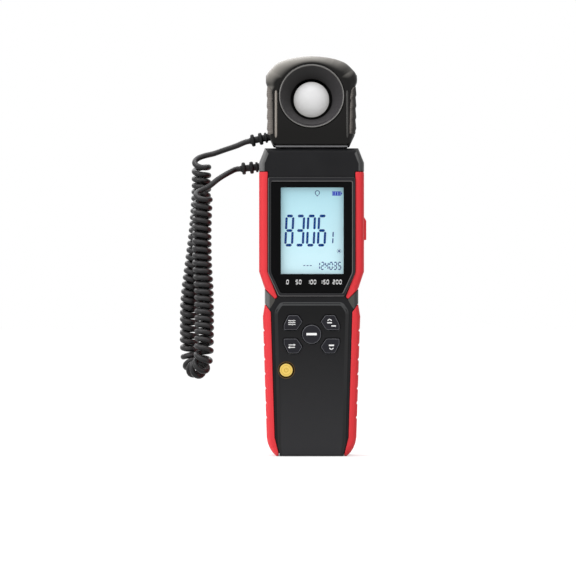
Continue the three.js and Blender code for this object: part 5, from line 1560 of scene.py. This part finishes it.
@dataclass
class Keypad:
    """Four corner keys, the round centre key and the power key, with their white marks.

    Attributes:
        middle: Z of the pad's middle.
        width: Width of the pad over the corner keys.
        height: Height of the pad.
        face: Y of the keys' faces.
        power: X and Z of the power key.
        power_radius: Radius of the power key.
        center_radius: Radius of the centre key.
        plunger: Y of both ends of the plunger behind each key.
        shares: Corners of a corner key, as shares of half the pad's width and height.
    """

    middle: float = 61.1
    width: float = 27.8
    height: float = 19.0
    face: float = -16.4
    power: Point = (-12.7, 43.2)
    power_radius: float = 3.25
    center_radius: float = 4.75
    plunger: Point = (-12.0, -8.9)
    shares: tuple[Point, ...] = (
        (1, 0.229), (1, 0.512), (0.831, 1), (0.489, 1), (0.331, 0.662), (0.529, 0.229),
    )

    def build(self) -> None:
        """Makes every key and mark."""
        for side in Side:
            for level in Level:
                self.corner_key(side, level)
        center = self.circle(0.0, self.middle, self.center_radius)
        self.key_piece("center_key", center, KEY_CAP, "key_center", "key_grey", 0.5)
        power = self.circle(*self.power, self.power_radius)
        self.key_piece("power_key", power, POWER_CAP, "key_power", "key_yellow", 0.5)
        bar = self.bar(0.0, self.middle + 0.1, 5.2, 1.15)
        self.mark("center_mark", [bar], "center_key")
        self.power_mark()
        self.power_ring()
        log.info("keypad built")

    def key_piece(
        self, name: str, outline: list[Point], finish: Finish, node: str, slot: str, radius: float
    ) -> None:
        """Makes a key: a cap with a rounded rim, a flange under the case and a plunger; a grey key's rim is
        lighter by a painted highlight.

        Args:
            name: Name of the key's body; the piece is named for it.
            outline: The cap's outline.
            finish: Its finish.
            node: CAD node that it stands for.
            slot: The record's slot.
            radius: Radius of the rounding of the cap's edge.
        """
        foot, flange_front, flange_back, overhang = -12.2, -12.5, -11.5, 0.75
        cap = plate("cap", outline, self.face, foot, finish, radius, steps=5)
        grown = offset_ring(counter_clockwise(np.array(outline, float)), -overhang)
        flange = plate("flange", [tuple(p) for p in grown], flange_front, flange_back, finish, 0.1, steps=2)
        x, z = np.mean(outline, axis=0)
        near, far = self.plunger
        profile = [(0, 0), (0, 1.5), (far - near, 1.5), (far - near, 0)]
        plunger = revolved("plunger", profile, np.array((x, near, z)), np.array((0, 1, 0)), finish, 32)
        key = joined(name + "_moulding", [cap, flange, plunger])
        if finish is KEY_CAP:
            # The rims take KEY_RIM: a painted highlight.
            paint_slopes(key, KEY_RIM, self.face + radius)
        fasten(key, slot, name, node)

    def corner_outline(self, side: Side, level: Level) -> list[Point]:
        """Gives a corner key's outline with rounded corners."""
        corners = [
            (side.value * x * self.width / 2, self.middle + level.value * z * self.height / 2)
            for x, z in self.shares
        ]
        return rounded_profile(corners, [0.7, 0.7, 0.6, 0.6, 0.6, 0.7], 4)

    @staticmethod
    def circle(x: float, z: float, radius: float) -> list[Point]:
        """Gives a round outline."""
        count = 72
        angle = 2 * np.pi * np.arange(count) / count
        return list(zip(x + radius * np.cos(angle), z + radius * np.sin(angle)))

    def outlines(self) -> list[Array]:
        """Gives the outline of every key, the power key's with room for its ring."""
        loops = [self.corner_outline(side, level) for side in Side for level in Level]
        loops += [self.circle(0.0, self.middle, self.center_radius), self.circle(*self.power, 3.9)]
        return [counter_clockwise(np.array(loop)) for loop in loops]

    def corner_key(self, side: Side, level: Level) -> None:
        """Makes one corner key and its mark."""
        outline = self.corner_outline(side, level)
        row, column = level.name.lower(), side.name.lower()
        self.key_piece(f"{row}_{column}_key", outline, KEY_CAP, f"key_{row}_{column}", "key_grey", 0.42)
        x, z = side.value * 9.9, self.middle + level.value * 5.9
        self.mark(f"{row}_{column}_mark", self.marks(side, level, x, z), f"{row}_{column}_key")

    @staticmethod
    def bar(x: float, z: float, width: float, height: float, lean: float = 0.0) -> list[Point]:
        """Gives a bar's four corners, turned by an angle in degrees."""
        cos, sin = math.cos(math.radians(lean)) / 2, math.sin(math.radians(lean)) / 2
        corners = [(-width, -height), (width, -height), (width, height), (-width, height)]
        return [(x + a * cos - b * sin, z + a * sin + b * cos) for a, b in corners]

    def marks(self, side: Side, level: Level, x: float, z: float) -> list[list[Point]]:
        """Gives the outlines of a corner key's mark: sliders, swap, up with two bars, down with a bar.

        Args:
            side: Which column of keys.
            level: Which row of keys.
            x: Middle of the key in X.
            z: Middle of the key in Z.

        Returns:
            Convex outlines.
        """
        bar = self.bar
        if (side, level) == (Side.LEFT, Level.UPPER):
            lines = [bar(x, z + 0.95 - 0.95 * k, 3.6, 0.32) for k in range(3)]
            knobs = [bar(x + dx, z + 0.95 - 0.95 * k, 0.55, 0.75) for k, dx in enumerate((0.9, -0.8, 0.4))]
            return lines + knobs
        if (side, level) == (Side.LEFT, Level.LOWER):
            shafts = [bar(x - 0.25, z + 0.62, 2.6, 0.4), bar(x + 0.25, z - 0.62, 2.6, 0.4)]
            right = [(x + 0.9, z + 0.0), (x + 1.9, z + 0.62), (x + 0.9, z + 1.24)]
            left = [(x - 0.9, z - 1.24), (x - 0.9, z), (x - 1.9, z - 0.62)]
            return [*shafts, right, left]
        sign = level.value
        x = x - 0.9 if level is Level.UPPER else x
        tip = z + sign * 1.35
        chevron = [bar(x + k * 0.5, tip, 1.35, 0.42, -k * sign * 40) for k in (-1, 1)]
        if level is Level.UPPER:
            return [*chevron, bar(x, z - 0.1, 2.3, 0.55), bar(x + 2.0, z - 1.7, 2.3, 0.55)]
        return [*chevron, bar(x, z + 0.4, 2.6, 0.75)]

    def mark(self, name: str, outlines: list[list[Point]], body: str) -> None:
        """Prints outlines on a key.

        Args:
            name: Name of the piece.
            outlines: Convex outlines.
            body: Body that the print rides on.
        """
        front, back = self.face - 0.03, self.face + 0.02
        printed = joined(name, [plate("ink", outline, front, back, PRINT) for outline in outlines])
        fasten(printed, "white_plastic", body)

    def power_mark(self) -> None:
        """Makes the power key's ring and its pressed mark: an open circle and a stroke."""
        x, z = self.power
        near, far = self.face - 0.03, self.face + 0.05
        pieces = []
        for radius, width, gap in ((2.35, 0.16, 0.0), (0.95, 0.3, 0.55)):
            angle = np.linspace(np.pi / 2 + gap, np.pi / 2 + 2 * np.pi - gap, 49)
            ray = np.stack([np.cos(angle), np.sin(angle)], 1)
            ring = np.concatenate([(x, z) + (radius + k * width / 2) * ray for k in (1, -1)])
            points = np.concatenate([np.insert(ring, 1, y, axis=1) for y in (near, far)])
            count = len(angle)
            k = np.arange(count - 1)
            front = np.stack([k, k + 1, k + 1 + count, k + count], 1)
            side = np.stack([k, k + 1, k + 1 + 2 * count, k + 2 * count], 1)
            end = np.array([0, count, 3 * count, 2 * count])
            ends = [end.tolist(), (end + count - 1).tolist()]
            faces = np.concatenate([front, front + 2 * count, side, side + count]).tolist()
            pieces.append(mesh_piece("ring", points * MM, faces + (ends if gap else []), POWER_MARK, False))
        stroke = self.bar(x, z + 0.75, 0.3, 1.1)
        pieces.append(plate("stroke", stroke, near, far, POWER_MARK))
        fasten(joined("power_mark", pieces), "key_yellow", "power_key")

    def power_ring(self) -> None:
        """Makes the thin bronze ring round the power key and, inside it, a near-black ring of painted shade
        in the key's well.
        """
        x, z = self.power
        for name, inner, outer, face, finish, slot in (
            ("power_ring", 3.92, 4.28, -15.67, POWER_RING, "brass"),
            # A near-black ring in the well, where shade falls: painted shade.
            ("power_well", 3.32, 3.91, -15.3, PAINTED_RECESS_SHADE, "case_black"),
        ):
            corners = [(0.0, inner), (0.0, outer), (0.3, outer), (0.3, inner)]
            profile = rounded_profile(corners, [0.1, 0.1, 0, 0], 3)
            base = np.array((x, face, z))
            ring = revolved(name, [*profile, profile[0]], base, np.array((0, 1, 0)), finish, 72)
            fasten(ring, slot, Body.METER.value)


# Display


class Segment(Enum):
    """The seven segments of a digit, as their ends in a box that is 1 wide and 2 high."""

    TOP = ((0, 2), (1, 2))
    UPPER_LEFT = ((0, 1), (0, 2))
    UPPER_RIGHT = ((1, 1), (1, 2))
    MIDDLE = ((0, 1), (1, 1))
    LOWER_LEFT = ((0, 0), (0, 1))
    LOWER_RIGHT = ((1, 0), (1, 1))
    BOTTOM = ((0, 0), (1, 0))


DIGITS = {
    "0": tuple(segment for segment in Segment if segment is not Segment.MIDDLE),
    "1": (Segment.UPPER_RIGHT, Segment.LOWER_RIGHT),
    "2": (Segment.TOP, Segment.UPPER_RIGHT, Segment.MIDDLE, Segment.LOWER_LEFT, Segment.BOTTOM),
    "3": (Segment.TOP, Segment.UPPER_RIGHT, Segment.MIDDLE, Segment.LOWER_RIGHT, Segment.BOTTOM),
    "4": (Segment.UPPER_LEFT, Segment.UPPER_RIGHT, Segment.MIDDLE, Segment.LOWER_RIGHT),
    "5": (Segment.TOP, Segment.UPPER_LEFT, Segment.MIDDLE, Segment.LOWER_RIGHT, Segment.BOTTOM),
    "6": tuple(segment for segment in Segment if segment is not Segment.UPPER_RIGHT),
    "8": tuple(Segment),
}


@dataclass
class Display:
    """The lit glass with its segments, and the window with its black border.

    Attributes:
        glass_face: Y of the liquid crystal glass.
        window_face: Y of the window.
        window_back: Y of the window's back.
        view: The view's left and right X, and its Z from foot to top.
        slope: How far the digits lean, X over Z.
    """

    glass_face: float = -12.5
    window_face: float = -15.6
    window_back: float = -14.6
    view: tuple[float, float, float, float] = (-15.35, 16.0, 91.3, 134.5)
    slope: float = 0.045

    def build(self) -> None:
        """Makes the window and what the glass shows."""
        self.window()
        self.digits("reading_digits", "8306", (-13.05, 105.7), (3.3, 14.6), 5.4, 1.12)
        self.digits("reading_small_digit", "1", (9.4, 106.3), (1.1, 6.4), 2.0, 0.6)
        self.digits("clock_digits", "124035", (2.6, 93.6), (1.3, 3.5), 2.12, 0.46)
        for number, left in (("0", -12.6), ("50", -7.9), ("100", -2.2), ("150", 4.2), ("200", 10.6)):
            self.digits(f"scale_number_{number}", number, (left, 86.3), (1.0, 1.9), 1.65, 0.34)
        self.clock_dots()
        self.unit_mark()
        self.lamp_mark()
        self.battery_mark()
        log.info("display built")

    def window(self) -> None:
        """Makes the window: a black printed border round the clear pane."""
        corners = mirrored([(15.4, 81.7), (20.15, 92.0), (20.15, 137.4)])
        outline = rounded_profile(corners, [0.8, 0.8, 0.7, 0.7, 0.8, 0.8], 5)
        left, right, low, high = self.view
        hole = rounded_profile([(left, low), (right, low), (right, high), (left, high)], [0.25] * 4, 3)
        face, back = self.window_face, self.window_back
        border = plate("window_border", outline, face, back, WINDOW_PRINT, edge=0.3, holes=[hole])
        # The pane lies free of the border all round, so that no two faces share a plane.
        beside, behind = 0.01, 0.02
        clear = [tuple(p) for p in offset_ring(counter_clockwise(np.array(hole)), beside)]
        pane = plate("window_pane", clear, face + behind, back - behind, WINDOW, edge=0.05, steps=2)
        fasten(border, "lens_black", Body.METER.value, "display_lens")
        fasten(pane, "lens_black", Body.METER.value)

    def show(self, name: str, outlines: list[list[Point]], finish: Finish) -> None:
        """Puts outlines on the glass as one thin piece.

        Args:
            name: Name of the piece.
            outlines: The outlines.
            finish: Its finish.
        """
        face = self.window_face if finish is PRINT else self.glass_face
        marks = [plate("mark", outline, face - 0.04, face + 0.02, finish) for outline in outlines]
        whole = joined(name, marks)
        fasten(whole, "white_plastic" if finish is PRINT else "lcd_glass", Body.METER.value)

    def digits(self, name: str, text: str, corner: Point, size: Point, pitch: float, thick: float) -> None:
        """Shows a row of seven-segment digits.

        A segment is a bar with pointed ends that stops short of the corners of its digit's box.

        Args:
            name: Name of the piece.
            text: The digits.
            corner: X and Z of the first digit's lower left corner.
            size: Width and height of a digit between the middle lines of its outer segments.
            pitch: From one digit to the next.
            thick: Thickness of a segment.
        """
        (left, foot), (width, height) = corner, size
        outlines = []
        for place, digit in enumerate(text):
            for segment in DIGITS[digit]:
                ends = np.array(segment.value, float) * (width, height / 2)
                along = unit(ends[1] - ends[0])
                side = np.array((-along[1], along[0]))
                level = abs(along[0]) > 0.5
                # Level segments are a little thicker and reach further into the corners.
                wide = thick * (1.2 if level else 1.0) / 2
                short = thick * (0.08 if level else 0.5)
                a, b = ends[0] + along * short, ends[1] - along * short
                up, tip = side * wide, along * wide * 0.75
                shape = np.array([a, a + tip + up, b - tip + up, b, b - tip - up, a + tip - up])
                shape[:, 0] += left + place * pitch + shape[:, 1] * self.slope
                shape[:, 1] += foot
                outlines.append([tuple(p) for p in shape])
        self.show(name, outlines, PRINT if name.startswith("scale") else SEGMENT)

    def clock_dots(self) -> None:
        """Shows the clock's dots and the three dashes before it."""
        size = 0.42
        pairs = [(left + 0.1 * k, 94.6 + 1.5 * k) for left in (6.75, 11.05) for k in range(2)]
        dots = [Keypad.bar(x, z, size, size) for x, z in pairs]
        dashes = [Keypad.bar(-3.6 + 1.6 * k, 95.5, 0.9, size) for k in range(3)]
        self.show("clock_dots", dots + dashes, SEGMENT)

    def unit_mark(self) -> None:
        """Shows a small sun: a round middle and eight rays."""
        x, z = 13.7, 102.7
        angle = 2 * np.pi * np.arange(16) / 16
        rays = [
            Keypad.bar(x + 0.95 * math.cos(a), z + 0.95 * math.sin(a), 0.5, 0.2, math.degrees(a))
            for a in angle[::2]
        ]
        core = list(zip(x + 0.5 * np.cos(angle), z + 0.5 * np.sin(angle)))
        self.show("unit_mark", [core, *rays], SEGMENT)

    def lamp_mark(self) -> None:
        """Shows a small bulb: an open ring of short strokes on a neck."""
        x, z = 2.9, 131.9
        angle = np.radians(np.arange(-45, 226, 27))
        ring = [
            Keypad.bar(x + 1.05 * math.cos(a), z + 1.05 * math.sin(a), 0.62, 0.34, math.degrees(a) + 90)
            for a in angle
        ]
        self.show("lamp_mark", [*ring, Keypad.bar(x, z - 1.45, 0.9, 0.5)], SEGMENT)

    def battery_mark(self) -> None:
        """Shows a full battery of three cells."""
        x, z = 12.6, 131.55
        cells = [Keypad.bar(x - 1.45 + 1.25 * k, z, 0.95, 1.5) for k in range(3)]
        case = [Keypad.bar(x - 0.2, z + 0.95 * k, 4.3, 0.26) for k in (-1, 1)]
        bars = ((-2.25, 0.26, 1.9), (1.9, 0.3, 1.9), (2.3, 0.5, 0.9))
        ends = [Keypad.bar(x + dx, z, width, height) for dx, width, height in bars]
        self.show("battery_mark", cells + case + ends, BATTERY_MARK)


# Meter case


@dataclass
class MeterCase:
    """The body's shells, the red grips over them, and the raised frame and panel edges.

    Attributes:
        frame_face: Y of the raised frame round the window.
        frame_back: Y of its back.
        panel_face: Y of the keypad's panel.
        panel_back: Y of its back.
        facet_face: Y of the waist's facets.
        facet_back: Y of their backs.
    """

    frame_face: float = -15.95
    frame_back: float = -15.3
    panel_face: float = -15.65
    panel_back: float = -12.7
    facet_face: float = -15.08
    facet_back: float = -14.4

    def build(self, frame: dict) -> None:
        """Makes the case's pieces.
        """
        for node, finish, width in (
            ("front_case", CASE, 0.14),
            ("rear_case", CASE, 0.14),
            ("grip_upper_left", GRIP, 0.45),
            ("grip_upper_right", GRIP, 0.45),
            ("grip_lower_left", GRIP, 0.22),
            ("grip_lower_right", GRIP, 0.22),
            ("dock_socket", CASE, 0.15),
            ("battery_cover", CASE, 0.15),
            ("usb_cover", GRIP, 0.3),
        ):
            piece = crisp_copy(frame, node, node + "_moulded", finish, width, 3)
            if node == "front_case":
                # The front case's sloping edges take CASE_EDGE: a painted highlight where they face the left.
                paint_slopes(piece, CASE_EDGE, -10.0, 0.2)
        self.window_frame()
        for side in Side:
            self.waist_facet(side)
        self.panel(Keypad())
        log.info("case built")

    def window_frame(self) -> None:
        """Makes the rounded frame round the window."""
        width, clearance, drop = 1.65, 0.06, 0.6
        lens = np.array(mirrored([(15.4, 81.7), (20.15, 92.0), (20.15, 138.0)]))
        outline = rounded_profile([tuple(p) for p in offset_ring(lens, -width)], [1.0] * 6, 5)
        # The opening's upper edge follows the window, which ends below the frame's own line.
        lens[2:4, 1] -= drop
        opening = rounded_profile([tuple(p) for p in offset_ring(lens, -clearance)], [0.8] * 6, 5)
        ring = plate(
            "window_frame", outline, self.frame_face, self.frame_back, FRAME,
            edge=0.45, holes=[opening], steps=3, hole_edge=(0.95, 0.35),
        )
        shade_by_angle(ring, 12)
        # The frame's slopes take FRAME_EDGE: a painted highlight.
        paint_slopes(ring, FRAME_EDGE, -15.6)
        fasten(ring, "case_black", Body.METER.value)

    def waist_facet(self, side: Side) -> None:
        """Makes the smooth facet between the upper and the lower grip, grey with a painted highlight."""
        corners = [(20.8, 80.9), (18.2, 78.5), (18.7, 77.4), (20.3, 74.7), (20.8, 74.1)]
        outline = [(side.value * x, z) for x, z in corners]
        name = f"waist_facet_{side.name.lower()}"
        facet = plate(name, outline, self.facet_face, self.facet_back, WAIST_FACET)
        fasten(facet, "case_black", Body.METER.value)

    def panel(self, keypad: Keypad) -> None:
        """Makes the keypad's panel with a hole for each key.

        Args:
            keypad: The keys, for their outlines.
        """
        foot = 0.9
        corners = mirrored([(15.9, foot), (16.9, 5.5), (18.65, 72.6), (15.7, 77.2)])
        outline = rounded_profile(corners, [0.0, 0.5, 1.8, 1.8, 1.8, 1.8, 0.5, 0.0], 4)
        gap = 0.3
        holes = [tuple(map(tuple, offset_ring(hole, -gap))) for hole in keypad.outlines()]
        panel = plate(
            "keypad_panel", outline, self.panel_face, self.panel_back, PANEL,
            edge=0.34, holes=holes, steps=1, across=1.7, hole_edge=(0.25, 0.25),
        )
        # The lower edge stays sharp: every point near the foot goes down to it.
        near_foot = 4
        for vertex in panel.data.vertices:
            if vertex.co.z < near_foot * MM:
                vertex.co.z = foot * MM
        shade_by_angle(panel, 5)
        # The panel's sloping faces take PANEL_EDGE, lighter where they face up: a painted highlight.
        paint_slopes(panel, PANEL_EDGE, -14.0)
        fasten(panel, "case_black", Body.METER.value)


def dress_rest(frame: dict) -> None:
    """Gives every CAD node that still shows its own finish.
    """
    finishes = {
        "case_black": CASE,
        "grip_red": GRIP,
        "rubber_black": RUBBER,
        "lens_black": WINDOW,
        "lcd_glass": DISPLAY_GLASS,
        "light_guide": LIGHT_GUIDE,
        "white_plastic": WHITE_PLASTIC,
        "contact_elastomer": ELASTOMER,
        "circuit_board": BOARD,
        "silicone_grey": SILICONE,
        "key_grey": KEY_CAP,
        "key_yellow": POWER_CAP,
        "steel": NICKEL,
        "screw_black": BLACK_STEEL,
        "brass": BRASS,
        "cell_wrap": CELL_WRAP,
        "plug_grey": PLINTH,
        "diffuser_white": OPAL,
        "filter_glass": FILTER_GLASS,
        "cord_black": JACKET,
    }
    slots = slots_of(frame)
    for node, piece in frame["nodes"].items():
        if piece.hide_render:
            continue
        finish = finishes[slots[node]]
        piece.data.materials.clear()
        piece.data.materials.append(finish.material())


def main() -> None:
    """Builds the studio and every piece in order."""
    logging.basicConfig(level=logging.INFO, format="%(name)s: %(message)s")
    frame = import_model()
    Studio().build()
    CurlyCord().build()
    HEAD_RELIEF.build("head_relief", "head_boot", Body.HEAD)
    METER_RELIEF.build("meter_relief", "meter_boot", Body.METER)
    SensorHead().build(frame)
    MeterCase().build(frame)
    Display().build()
    Keypad().build()
    dress_rest(frame)


if __name__ == "__main__":
    main()
